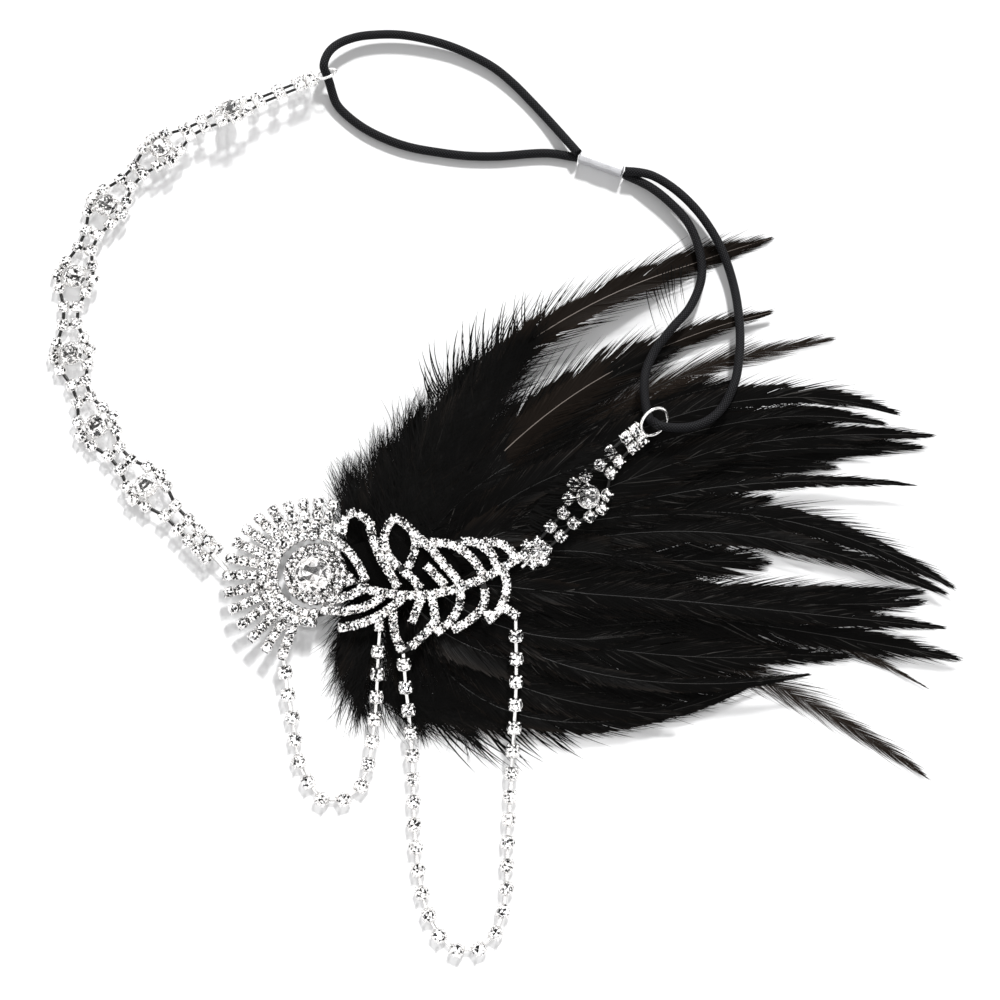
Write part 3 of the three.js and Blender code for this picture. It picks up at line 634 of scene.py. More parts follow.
def feed(tree, node, inputs):
    """Sets a node's inputs, by name or number: a socket is linked, and anything else is the input's value."""
    for label, value in inputs.items():
        if isinstance(value, bpy.types.NodeSocket):
            tree.links.new(value, node.inputs[label])
        else:
            node.inputs[label].default_value = value


def add_node(tree, kind, inputs=None, **settings):
    """A new shader node of a kind, with its settings and its inputs."""
    node = tree.nodes.new(f"ShaderNode{kind}")
    for label, value in settings.items():
        setattr(node, label, value)
    feed(tree, node, inputs or {})
    return node


def worked_out(tree, operation, first, second):
    return add_node(tree, "Math", {0: first, 1: second}, operation=operation).outputs["Value"]


def blend(tree, share, first, second):
    """Two colours mixed by a share."""
    return add_node(tree, "Mix", {"Factor": share, 6: first, 7: second}, data_type="RGBA").outputs[2]


def spread(tree, value, low=0.0, high=1.0, first=0.0, last=1.0):
    """A value's way from low to high, made a way from first to last."""
    ends = {"From Min": low, "From Max": high, "To Min": first, "To Max": last}
    return add_node(tree, "MapRange", {"Value": value, **ends}).outputs["Result"]


def clouds(tree, place, scale=1.0, detail=2.0, stretch=None):
    """Noise at a place, which is stretched first where that is given."""
    if stretch is not None:
        place = add_node(tree, "Mapping", {"Vector": place, "Scale": stretch}).outputs["Vector"]
    return add_node(tree, "TexNoise", {"Vector": place, "Scale": scale, "Detail": detail}).outputs["Fac"]


def relief(tree, height, strength, distance):
    """A normal that is bent by a height."""
    values = {"Height": height, "Strength": strength, "Distance": distance}
    return add_node(tree, "Bump", values).outputs["Normal"]


def group_tree(name, inputs, outputs):
    """A new node group, its inputs' sockets and its output node, from the names and kinds of its sockets."""
    tree = bpy.data.node_groups.new(name, "ShaderNodeTree")
    for way, sockets in (("INPUT", inputs), ("OUTPUT", outputs)):
        for label, kind in sockets.items():
            tree.interface.new_socket(label, in_out=way, socket_type=f"NodeSocket{kind}")
    return tree, tree.nodes.new("NodeGroupInput").outputs, tree.nodes.new("NodeGroupOutput")


def mottle_group():
    """Cloudy variation on Object coordinates: two colours and roughnesses mixed by noise, and its height."""
    if "Mottle" in bpy.data.node_groups:
        return bpy.data.node_groups["Mottle"]
    tree, given, made = group_tree(
        "Mottle",
        {
            "Scale": "Float", "First Colour": "Color", "Second Colour": "Color", "First Roughness": "Float",
            "Second Roughness": "Float",
        },
        {"Colour": "Color", "Roughness": "Float", "Height": "Float"},
    )
    cloud = clouds(tree, add_node(tree, "TexCoord").outputs["Object"], given["Scale"], detail=4)
    colour = blend(tree, cloud, given["First Colour"], given["Second Colour"])
    gloss = spread(tree, cloud, 0.3, 0.7, given["First Roughness"], given["Second Roughness"])
    feed(tree, made, {"Colour": colour, "Roughness": gloss, "Height": cloud})
    return tree


def barb_group():
    """Tone of barbs, from their UV: u runs from the quill to a barb's end, v by millimetres along the quill.

    Noise drawn out along the barbs makes streaks. They mix two colours more and more towards the ends, and
    set the roughness. Finer streaks, gathered in patches, are painted glints: a lighter colour painted where
    barbs would stand up and catch the light.
    From Edge on, only streaks above a rising level are left, so that the vane ends in strands.
    """
    if "Barb tone" in bpy.data.node_groups:
        return bpy.data.node_groups["Barb tone"]
    tree, given, made = group_tree(
        "Barb tone",
        {
            "Root Colour": "Color", "Tip Colour": "Color", "Painted Glint Colour": "Color", "Edge": "Float",
            "Fade": "Float", "Low Roughness": "Float", "High Roughness": "Float",
        },
        {"Colour": "Color", "Roughness": "Float", "Alpha": "Float", "Height": "Float"},
    )
    uv = add_node(tree, "UVMap", uv_map="UVMap").outputs["UV"]
    out = add_node(tree, "SeparateXYZ", {"Vector": uv}).outputs["X"]
    streak = clouds(tree, uv, detail=3, stretch=(1.2, 1.5, 1))
    toward = worked_out(tree, "MULTIPLY", spread(tree, out, 0.5), streak)
    tone = blend(tree, toward, given["Root Colour"], given["Tip Colour"])
    # Painted glints: a lighter colour in fine streaks and patches stands in for light caught by raised barbs
    painted_glint_streaks = spread(tree, clouds(tree, uv, detail=2, stretch=(2.2, 3.2, 1)), 0.6, 0.74)
    painted_glint_patches = spread(tree, clouds(tree, uv, detail=1, stretch=(0.5, 0.09, 1)), 0.46, 0.66)
    painted_glint = blend(tree, worked_out(tree, "MULTIPLY", painted_glint_streaks, painted_glint_patches), tone, given["Painted Glint Colour"])
    gloss = spread(tree, streak, 0.35, 0.65, given["High Roughness"], given["Low Roughness"])
    level = spread(tree, out, given["Edge"], 1, 0.15, 0.66)
    left = spread(tree, worked_out(tree, "SUBTRACT", streak, level), -0.06, 0.06, given["Fade"], 1)
    feed(tree, made, {"Colour": painted_glint, "Roughness": gloss, "Alpha": left, "Height": streak})
    return tree


def mottled(tree, scale, first, second, roughness):
    """The mottle group's outputs, for two colours and a pair of roughnesses."""
    values = {"Scale": scale, "First Colour": first, "Second Colour": second}
    values.update({"First Roughness": roughness[0], "Second Roughness": roughness[1]})
    return add_node(tree, "Group", values, node_tree=mottle_group()).outputs


def thin_shadow(tree, share):
    """The alpha of a piece that lets light past: whole, but for the key light only a share."""
    return spread(tree, add_node(tree, "LightPath").outputs["Is Shadow Ray"], 0, 1, 1, share)


def tinted(colour, factor=1.0):
    return (*[min(1.0, channel * factor) for channel in colour[:3]], 1)


def finish_named(name, dress):
    """The material of a name. Where there is none yet, it is made, and dress gives its nodes their looks."""
    if name not in bpy.data.materials:
        material = bpy.data.materials.new(name)
        material.use_nodes = True
        dress(material.node_tree, material.node_tree.nodes["Principled BSDF"])
    return bpy.data.materials[name]


def metal(name, colour, rough, scale, bump, shadow=None):
    """Plated metal: its tone and gloss drift a little, and a fine unevenness bends its reflections."""

    def dress(tree, shader):
        drift = mottled(tree, scale, tinted(colour, 0.93), tinted(colour, 1.03), (0.7 * rough, 1.4 * rough))
        bent = relief(tree, drift["Height"], bump, 0.0002)
        looks = {"Base Color": drift["Colour"], "Roughness": drift["Roughness"], "Normal": bent}
        looks["Metallic"] = 1
        if shadow is not None:
            looks["Alpha"] = thin_shadow(tree, shadow)
        feed(tree, shader, looks)

    return finish_named(name, dress)


def silver():
    finish = bpy.context.scene.headpiece_finish
    return metal("plated_silver", finish.silver, rough=0.16, scale=900, bump=0.15, shadow=JEWEL_SHADOW)


def painted_shade_silver():
    """Painted shade: near-black silver for the links between cups, which turn away from the light, and for
    the bars under the ornament's stones.
    """
    finish = bpy.context.scene.headpiece_finish
    grey = tinted(finish.silver, 0.035)
    return metal("silver_painted_shade", grey, rough=0.3, scale=900, bump=0.15, shadow=JEWEL_SHADOW)


def foil(name="foil_painted_dark_facets", dark_facet_scale=1700, dark=0.16):
    """The bright foil behind the stones, as it shows through their facets: pale, with dark cells that are
    painted dark reflections.
    """

    def dress(tree, shader):
        drift = mottled(tree, 260.0, (0.86, 0.83, 0.8, 1), (0.97, 0.98, 1, 1), (0.02, 0.06))
        place = add_node(tree, "TexCoord").outputs["Object"]
        # Painted dark reflections: random cells of the foil are painted near black
        cells = add_node(tree, "TexVoronoi", {"Vector": place, "Scale": dark_facet_scale}).outputs["Color"]
        painted_dark_chance = add_node(tree, "SeparateColor", {"Color": cells}).outputs["Red"]
        shade = blend(tree, spread(tree, painted_dark_chance, dark, dark + 0.08), (0.06, 0.06, 0.062, 1), drift["Colour"])
        looks = {"Base Color": shade, "Roughness": drift["Roughness"], "Metallic": 1}
        feed(tree, shader, {**looks, "Alpha": thin_shadow(tree, JEWEL_SHADOW)})

    return finish_named(name, dress)


def deep_foil():
    """The foil under a large stone, with wider and fewer dark cells of painted dark reflection."""
    return foil("pavilion_foil_painted_dark_facets", dark_facet_scale=700, dark=0.1)


def crystal():
    """Clear cut glass with a faint drift of tint."""

    def dress(tree, shader):
        drift = mottled(tree, 120.0, (0.97, 0.96, 0.95, 1), (1, 1, 1, 1), (0.0, 0.02))
        looks = {"Base Color": drift["Colour"], "Roughness": drift["Roughness"], "Transmission Weight": 1}
        feed(tree, shader, {**looks, "IOR": 1.56, "Alpha": thin_shadow(tree, JEWEL_SHADOW)})

    return finish_named("clear_crystal", dress)


def barb_finish(name, root, tip, edge, fade, rough, specular=0.036, shadow=0.3, painted_glint=None):
    """Feather: streaks of barbs from one tone to another, which thin out at their ends and let light past."""

    def dress(tree, shader):
        values = {
            "Root Colour": tinted(root), "Tip Colour": tinted(tip), "Painted Glint Colour": tinted(painted_glint or tip),
            "Edge": edge, "Fade": fade, "Low Roughness": rough[0], "High Roughness": rough[1],
        }
        tone = add_node(tree, "Group", values, node_tree=barb_group()).outputs
        bent = relief(tree, tone["Height"], 0.35, 0.0003)
        solid = worked_out(tree, "MULTIPLY", thin_shadow(tree, shadow), tone["Alpha"])
        looks = {"Base Color": tone["Colour"], "Roughness": tone["Roughness"], "Normal": bent, "Alpha": solid}
        feed(tree, shader, {**looks, "Specular IOR Level": specular})

    return finish_named(name, dress)


def feather_finish(name):
    """One of the feathers' finishes: barbs of three kinds, down, quills, or the raised feathers' shafts.
    The shafts' pale colour is a painted highlight.

    Raised feathers' shadows fall clear of them, and are nearly whole.
    """
    finish = bpy.context.scene.headpiece_finish
    # pale is the painted highlight colour of the raised feathers' shafts
    dark, brown, pale = finish.feather, finish.feather_tip, (0.2, 0.17, 0.15)
    looks = {
        "hackle_barbs": dict(
            # The hackles' glints are painted highlights in their colour
            root=dark, tip=brown, edge=0.8, fade=0.0, rough=(0.34, 0.6), painted_glint=finish.feather_painted_glint
        ),
        "raised_barbs": dict(
            root=tinted(brown, 0.55), tip=tinted(brown, 1.6), edge=0.58, fade=0.0, rough=(0.34, 0.6),
            shadow=0.85,
        ),
        "sheer_barbs": dict(root=brown, tip=tinted(brown, 2.8), edge=-1.2, fade=0.08, rough=(0.35, 0.6)),
        "down_strands": dict(root=dark, tip=brown, edge=0.45, fade=0.25, rough=(0.55, 0.85), specular=0.06),
        "quills": dict(
            root=tinted(dark, 2), tip=brown, edge=2.0, fade=1.0, rough=(0.25, 0.45), specular=0.25
        ),
        # Pale shafts: a light colour painted on the raised feathers' quills as their painted highlight
        "shafts_painted_highlight": dict(
            root=pale, tip=tinted(pale, 1.3), edge=2.0, fade=1.0, rough=(0.3, 0.5), specular=0.3
        ),
    }
    return barb_finish(name, **looks[name])


def felt():
    """The black felt of the plume's backing: matted fibre as bump and tone."""

    def dress(tree, shader):
        black = bpy.context.scene.headpiece_finish.feather
        drift = mottled(tree, 1600.0, tinted(black, 0.5), tinted(black, 1.3), (0.8, 0.95))
        bent = relief(tree, drift["Height"], 1.0, 0.0004)
        looks = {"Base Color": drift["Colour"], "Roughness": drift["Roughness"], "Normal": bent}
        feed(tree, shader, {**looks, "Specular IOR Level": 0.03})

    return finish_named("backing_felt", dress)


def braid():
    """The elastic's woven cover, on a UV of turns along and round it: two crossing waves raise its plaits,
    and paint their crowns lighter and the grooves between them darker, as painted highlight and shade.
    """

    def dress(tree, shader):
        cover = bpy.context.scene.headpiece_finish.elastic
        uv = add_node(tree, "UVMap", uv_map="UVMap").outputs["UV"]
        waves = []
        for turn in (45, -45):
            lay = add_node(tree, "Mapping", {"Vector": uv, "Rotation": (0, 0, math.radians(turn))})
            wave = {"Vector": lay.outputs["Vector"], "Scale": 0.5, "Distortion": 0.6}
            waves.append(add_node(tree, "TexWave", wave).outputs["Fac"])
        plait = worked_out(tree, "MULTIPLY", *waves)
        # Painted highlight and shade: the plaits' crowns are painted far lighter than the grooves
        tone = blend(tree, plait, tinted(cover, 0.2), tinted(cover, 10))
        looks = {"Base Color": tone, "Normal": relief(tree, plait, 0.7, 0.0002)}
        feed(tree, shader, {**looks, "Roughness": 0.6, "Specular IOR Level": 0.1})

    return finish_named("braided_cover", dress)


def table_top():
    """The table, with a faint drift of tone."""

    def dress(tree, shader):
        pale = bpy.context.scene.headpiece_finish.floor
        drift = mottled(tree, 1.5, tinted(pale, 0.99), tinted(pale, 1.01), (0.75, 0.85))
        looks = {"Base Color": drift["Colour"], "Roughness": drift["Roughness"], "Specular IOR Level": 0.15}
        feed(tree, shader, looks)

    return finish_named("table_top", dress)


# Places on the chains


def band_path():
    """The band: a straight run, the arc round the head and a straight run to the fan, as high as its lean."""
    distance = np.linspace(0, BAND_LENGTH, 2400)
    on_arc = np.clip(distance - BAND.straight_ring, 0, BAND.radius * (BAND.end - BAND.start))
    angle = BAND.start + on_arc / BAND.radius
    past = distance - BAND.straight_ring - on_arc
    x = BAND.centre[0] + BAND.radius * np.cos(angle) - past * np.sin(angle)
    y = BAND.centre[1] + BAND.radius * np.sin(angle) + past * np.cos(angle)
    rise = ramp(distance, BAND_LENGTH - BAND.rise_over, BAND_LENGTH)
    z = BAND.reach * np.sin(band_lean(distance)) + BAND.rise_fan * rise
    return Path(np.stack([x, y, z], -1))


def band_lean(distance):
    """How far the band's faces turn outwards: most at the ring, little from its middle on."""
    distance = np.asarray(distance)
    lying = BAND.lean_middle + (BAND.lean_fan - BAND.lean_middle) * distance / BAND_LENGTH
    settled = ramp(distance, BAND.lean_from, BAND.lean_to)
    return lying + (BAND.lean_ring - BAND.lean_middle) * (1 - settled)


def side_lean(distance, length):
    """How far the side chain's faces turn outwards: evenly more from the tip to the ring."""
    return SIDE.lean_tip + (SIDE.lean_ring - SIDE.lean_tip) * np.asarray(distance) / length


def chain_places(path, distances, leans):
    """Axes and places on a chain: along it, across it to the inside, and out of the stones' faces.

    A lean turns the faces outwards, to the right-hand side of the way the chain runs.
    """
    distances = np.asarray(distances, float)
    along = path.along(distances)
    along[:, 2] = 0
    along = unit(along)
    outward = np.cross(along, UP)
    leans = np.broadcast_to(leans, len(distances))[:, None]
    face = outward * np.sin(leans) + UP * np.cos(leans)
    places = path.at(distances)
    places[:, 2] = np.maximum(places[:, 2], 0)
    return np.stack([along, np.cross(face, along), face], 1), places


def spun(axes, angles, tilts):
    """Axes turned about their own face by an angle, and leant from it by a tilt."""
    cos, sin = np.cos(angles)[:, None], np.sin(angles)[:, None]
    x = axes[:, 0] * cos + axes[:, 1] * sin
    face = unit(axes[:, 2] + x * np.tan(tilts)[:, None])
    x = unit(x - face * np.sum(x * face, -1, keepdims=True))
    return np.stack([x, np.cross(face, x), face], 1)


class Chain:
    """One chain's settings, large stones and links, gathered as places and axes."""

    def __init__(self):
        self.axes, self.places, self.links, self.large = [], [], [], []

    def set_stones(self, axes, place, offsets):
        for along, across in offsets:
            self.axes.append(axes)
            self.places.append(place + axes[0] * along + axes[1] * across)

    def tie(self, start, end, face):
        self.links.append((start, end, face))

    def stone_axes(self, rng):
        """Each stone's axes, turned and leant a little as hand-set stones are."""
        count = len(self.places)
        return spun(np.array(self.axes), rng.uniform(0, 2 * np.pi, count), rng.uniform(0, CHAIN_LEAN, count))

    def link_axes(self, width, thickness):
        start, end, face = (np.array(part) for part in zip(*self.links))
        along = end - start
        across = unit(np.cross(face, along))
        rise = unit(np.cross(along, across))
        return np.stack([along, across * width, rise * thickness], 1), start


def double_chain(path, lean_at, settings):
    """A chain of two rows: stones at each setting, one in the middle of some, and links along and across.

    A setting gives the two rows' bends, the middle stone's kind, and the distance along the chain.
    """
    chain = Chain()
    last = None
    for bends, middle, distance in sorted(settings, key=lambda setting: setting[2]):
        axes, places = chain_places(path, [distance], lean_at(np.array([distance])))
        axes, place = axes[0], places[0]
        face, level = axes[2], place + axes[2] * LINK.height
        chain.set_stones(axes, place, [(along, side * across) for along, across in bends for side in (1, -1)])
        if middle == "large":
            chain.large.append((axes, place))
        if middle == "small":
            chain.set_stones(axes, place, [(0, 0)])
        rows = [
            [level + axes[0] * along + axes[1] * side * across for along, across in bends] for side in (1, -1)
        ]
        for row in rows:
            for start, end in zip(row, row[1:]):
                chain.tie(start, end, face)
        if middle == "large":
            for row in rows:
                chain.tie(row[1], level, face)
        else:
            for upper, lower in zip(*rows):
                chain.tie(upper, lower, face)
        if last is not None:
            for before, row in zip(last, rows):
                chain.tie(before, row[0], face)
        last = [row[-1] for row in rows]
    return chain


def band_chain(path):
    settings = [(RING_BLOCK, None, BAND.ring_block), (FAN_BLOCK, None, BAND.fan_block)]
    settings += [(PAIR, None, at) for at in (*BAND.ring_pairs, *BAND.fan_pairs)]
    for i in range(BAND.clusters):
        at = BAND.cluster + i * BAND.pitch
        settings.append((CLUSTER, "large", at))
        if i < BAND.clusters - 1:
            settings += [(PAIR, None, at + step) for step in BAND.pairs]
    return double_chain(path, band_lean, settings)


def side_chain(path):
    settings = [(ROSETTE, "small", SIDE.rosette), (CLUSTER, "large", SIDE.cluster)]
    settings += [(RING_BLOCK, None, SIDE.block), *((PAIR, None, at) for at in SIDE.pairs)]
    return double_chain(path, lambda distance: side_lean(distance, path.length), settings)


def swag_chain(route):
    """A single chain: stones at an even pitch, joined by links."""
    path = smooth_route(route)
    links = round(path.length / SWAG_PITCH)
    axes, places = chain_places(path, np.arange(1, links) / links * path.length, 0.0)
    chain = Chain()
    chain.axes, chain.places = list(axes), list(places)
    level = np.concatenate([path.at([0]), places, path.at([path.length])]) + UP * LINK.height
    for start, end in zip(level, level[1:]):
        chain.tie(start, end, UP)
    return chain


def add_chain(piece, chain, stone, rng, width, link_finish=METAL):
    """A chain's cups and links in metal, and its stones in foil."""
    places = np.array(chain.places)
    cup = prong_cup(stone.girdle, stone.middle, stone.top)
    piece.add_copies(cup, np.array(chain.axes), places, smooth=True)
    cut = star_cut(1.02 * stone.girdle, stone.middle, stone.top)
    piece.add_copies(cut, chain.stone_axes(rng), places, finish=FOIL)
    piece.add_copies(link_bar(), *chain.link_axes(width, LINK.thick), smooth=True, finish=link_finish)


def end_ring(path, distance, lean):
    """The middle and the axes of the ring at a chain's end."""
    axes, places = chain_places(path, [distance], lean)
    return places[0] + axes[0, 2] * LINK.height, axes[0]


# The ornament's own plane


def on_ornament(points):
    """Places on the ornament, carried onto its tilted back: a turn about Y, then up by the back's height."""
    x, y, z = np.asarray(points, float).T
    cos, sin = math.cos(ORNAMENT.tilt), math.sin(ORNAMENT.tilt)
    return np.stack([x * cos + z * sin, y, z * cos - x * sin + ORNAMENT.back], -1)


def ornament_axes(along):
    """Axes at places on the ornament, from the way that each row runs there."""
    x, y, none = *along.T, np.zeros(len(along))
    across = np.stack([-y, x, none], -1)
    axes = np.stack([np.stack([x, y, none], -1), across, np.tile(UP, (len(along), 1))], 1)
    level = on_ornament(np.zeros((1, 3)))
    return on_ornament(axes.reshape(-1, 3)).reshape(-1, 3, 3) - level


def stone_lines():
    """The ornament's lines of stones, with their stones' sizes: rows, the fan's rays and arcs, and the halo.

    The halo has three rings of small stones, which run together at its point on the quill.
    """
    lines = [(bowed(*row), 1.0) for row in ROWS]
    share = np.linspace(0, 1, FAN.rays)
    way = flat(np.radians(FAN.first + (FAN.last - FAN.first) * share))
    tip = FAN.shortest + (FAN.longest - FAN.shortest) * ramp(share, FAN.grow_from, FAN.grow_to)
    lines += [(Path(ends), FAN.stone) for ends in zip(way * FAN.root, way * tip[:, None])]
    for radius, first, last in FAN_ARCS:
        lines.append((Path(flat(np.radians(np.linspace(first, last, 90))) * radius), 1.0))
    circle = flat(np.linspace(0, 2 * np.pi, 90) + EYE.turn)
    lines += [(Path(circle * radius + [aside, 0]), size) for radius, size, aside in HALO_RINGS]
    point, side = flat(EYE.turn), flat(EYE.turn + math.pi / 2)
    for across in HALO.point:
        lines.append((Path([point * EYE.halo + side * across, point * EYE.point]), HALO.size))
    return lines


def spread_out(places, apart):
    """Which places to keep, so that none is nearer than its distance to one kept before it."""
    kept = np.zeros(len(places), bool)
    for i, place in enumerate(places):
        kept[i] = np.all(np.hypot(*(places[kept] - place).T) >= apart[i])
    return kept


# Feathers


def leaf_width(width, share, blunt):
    """Half a feather's width: it opens over the first stretch, and closes by a power of the share."""
    return width / 2 * ramp(share, -0.1, 0.14) * (1 - share**blunt) ** 1.05


def feather_spine(feather, lift):
    """A feather's middle line: its bow in plan, at its layer's height, which spreads away from the pad.

    The lift is half a sine wave over the first part of the feather.
    """
    plan = bowed(*feather[:3])
    out = np.hypot(*(plan.points - PLUME.middle).T)
    spread_by = PLUME.spread * ramp(out, PLUME.flat, PLUME.flat + PLUME.spread_over)
    share = plan.distances / plan.length
    arch = lift * np.sin(np.pi * np.clip(share * 1.3, 0, 1))
    height = feather[4] * (PLUME.layer + spread_by) + PLUME.thick / 2 + arch
    return Path(np.column_stack([plan.points, height]))


def barb_style(*own):
    """How a feather's barbs lie, with some values of its own."""
    style = dict(BARBS)
    for values in own:
        style.update(values)
    return SimpleNamespace(**style)


def barb_lines(spine, width, style, rng):
    """The lines of a feather's barbs, as side of the quill, barb, and step along it; and each barb's tuft.

    A barb leaves the quill at an angle that closes from root to tip. Its direction turns towards the quill's
    on the way out, past it near the tip, and its line is the running sum of those directions. The barbs part
    into tufts, each with its own angle, reach and lift. At the tip they end a little before each other, as in
    a brush.
    """
    rows = max(12, int(style.per_mm * spine.length))
    share = np.linspace(style.first, style.last, rows)
    root, along = spine.at(share * spine.length), spine.along(share * spine.length)
    across = unit(np.cross(UP, along)) * np.array(style.sides)[:, None, None]
    size = len(across), rows
    half = leaf_width(width, share, style.blunt)
    root = root + across * (half * style.scatter * rng.uniform(-0.9, 0.9, size))[..., None]
    tuft = np.cumsum(rng.random(size) < 1 / style.tuft, axis=1)
    tufts = rng.normal(0, 1, (3, len(across), rows + 1))
    turns, reaches, lifts = (np.take_along_axis(own, tuft, 1) for own in tufts)
    angle = np.radians(style.wide + (style.close - style.wide) * share**0.7)
    angle = angle * (1 + style.part * turns + style.stray * rng.normal(0, 1, size))
    uneven = 1 + style.part * reaches + style.ragged * rng.normal(0, 1, size)
    reach = style.reach * half / np.sin(np.maximum(angle, 0.14)) * uneven.clip(0.5, 1.5)
    reach = reach * (1 + style.comb * (1 - share) ** 2)
    brush = np.random.default_rng(rows).uniform(style.brush, 1, size)
    left = (1 - share) * spine.length + style.tail
    reach = np.minimum(np.minimum(reach, style.longest), left * brush)
    way = np.linspace(0, 1, style.steps)
    bend = (style.bend + style.point * share**6)[:, None]
    turn = angle[..., None] * (1 - bend * way) + style.curl * rng.normal(0, 1, (*size, 1)) * way
    step = np.cos(turn)[..., None] * along[:, None] + np.sin(turn)[..., None] * across[:, :, None]
    step = step * (reach / (style.steps - 1))[..., None, None]
    line = root[:, :, None] + np.cumsum(step, 2) - step
    line[..., 2] += (style.rise + style.lift * lifts[..., None]) * way**1.5
    line[..., 2] -= style.droop * half[:, None] * way**2
    line[..., 2] = np.maximum(line[..., 2], 0.15)
    return line, step, tuft


def vane(spine, width, style, rng):
    """A feather's two vanes: sheets between its barbs' lines, slit where one tuft ends and the next begins.

    Along U a sheet runs from the quill to the barbs' ends, and along V by millimetres of the quill.
    """
    line, _, tuft = barb_lines(spine, width, style, rng)
    rows, steps = line.shape[1:3]
    faces = grid_faces(rows, steps).reshape(rows - 1, steps - 1, 4)
    whole = np.arange(steps - 1) < rng.integers(1, steps, (2, rows - 1, 1))
    kept = (tuft[:, 1:] == tuft[:, :-1])[..., None] | whole
    faces = np.concatenate([faces[kept[0]][:, ::-1], faces[kept[1]] + rows * steps])
    way = np.linspace(0, 1, steps)[None, None, :]
    place = (np.arange(rows) / style.per_mm)[None, :, None] + rng.uniform(0, 1000, (2, 1, 1))
    uv = np.stack(np.broadcast_arrays(way, place), -1)
    return line.reshape(-1, 3), faces, uv.reshape(-1, 2)


def strands(spine, width, style, rng):
    """Separate barbs: ribbons with half their width on each side of a barb's line, thinning to a point."""
    line, step, _ = barb_lines(spine, width, style, rng)
    sides, rows, steps = line.shape[:3]
    way = np.linspace(0, 1, steps)[:, None]
    edge = unit(np.stack([-step[..., 1], step[..., 0], 0 * step[..., 0]], -1)) + UP * style.slat
    thin = style.half_width * (1 - way) ** 0.6 * rng.uniform(0.7, 1.3, (sides, rows, 1, 1))
    points = np.stack([line + edge * thin, line - edge * thin], 3)
    faces = repeated(grid_faces(steps, 2), sides * rows, 2 * steps)
    own = rng.uniform(0, 1000, (sides, rows, 1, 1))
    uv = np.stack(np.broadcast_arrays(0.5 * way, own, np.zeros((1, 1, 1, 2))), -1)[..., :2]
    return points.reshape(-1, 3), faces, uv.reshape(-1, 2)


def quill(spine, sides=5, stations=26):
    """A feather's quill: a tube that thins from its root to its tip."""
    share = np.linspace(0, 0.985, stations)
    points, faces = tube(spine, share * spine.length, QUILL_RADIUS * (1 - 0.8 * share), sides)
    uv = np.stack([np.repeat(share, sides), np.tile(np.arange(sides) / sides, stations)], -1)
    return points, faces, uv


def turned_feather(feather, turn, size):
    """A feather turned about its root in plan and made shorter."""
    start, half, end, width, layer = feather
    root = np.array(start)
    cos, sin = math.cos(turn), math.sin(turn)
    spin = np.array([[cos, -sin], [sin, cos]]) * size
    moved = [tuple(root + spin @ (np.array(place) - root)) for place in (half, end)]
    return (start, *moved, width * (0.6 + 0.4 * size), layer)


# What a user would change


def length_property(name, description, default):
    """A length as a property, which is given here in millimetres and kept in metres."""
    return FloatProperty(
        name=name, description=description, default=default * MM, min=0, unit="LENGTH", precision=5
    )


def colour_property(name, description, default):
    return FloatVectorProperty(name=name, description=description, default=default, subtype="COLOR", size=3)


class HeadpieceSizes(bpy.types.PropertyGroup):
    """Sizes of the small work that the solids leave out."""

    pave_pitch: length_property("Stone pitch", "Distance between the ornament's stones", 2.95)
    pave_radius: length_property("Stone radius", "Radius of the ornament's stones", 1.58)
    bead_radius: length_property("Bead radius", "Radius of the metal beads between stones", 0.38)
    elastic_diameter: length_property("Elastic diameter", "Thickness of the elastic", 2.7)
    fillers: IntProperty(
        name="Filling feathers", description="Shorter feathers laid in with each long one", default=3, min=0
    )


class HeadpieceFinish(bpy.types.PropertyGroup):
    """Colours of the finishes, and the strength of the light."""

    silver: colour_property("Silver", "Plated metal", (0.91, 0.9, 0.89))
    steel: colour_property("Steel", "The crimp's metal", (0.72, 0.72, 0.73))
    feather: colour_property("Feather", "Dyed black of the feathers", (0.002, 0.0019, 0.0018))
    feather_tip: colour_property("Feather tips", "Brown that shows at thin tips", (0.014, 0.01, 0.0075))
    # The lit barbs' colour is a painted glint, a highlight painted into the feathers' colour
    feather_painted_glint: colour_property("Painted barb glints", "Glints painted where barbs would stand up and catch the light", (0.1, 0.095, 0.09))
    elastic: colour_property("Elastic", "The elastic's woven cover", (0.0035, 0.0035, 0.004))
    floor: colour_property("Floor", "The table under the headpiece", (0.94, 0.94, 0.945))
    key: FloatProperty(name="Key light", description="Strength of light from the back", default=3.4, min=0)
    sky: FloatProperty(name="Fill light", description="Strength of the light all round", default=0.52, min=0)


# Operators


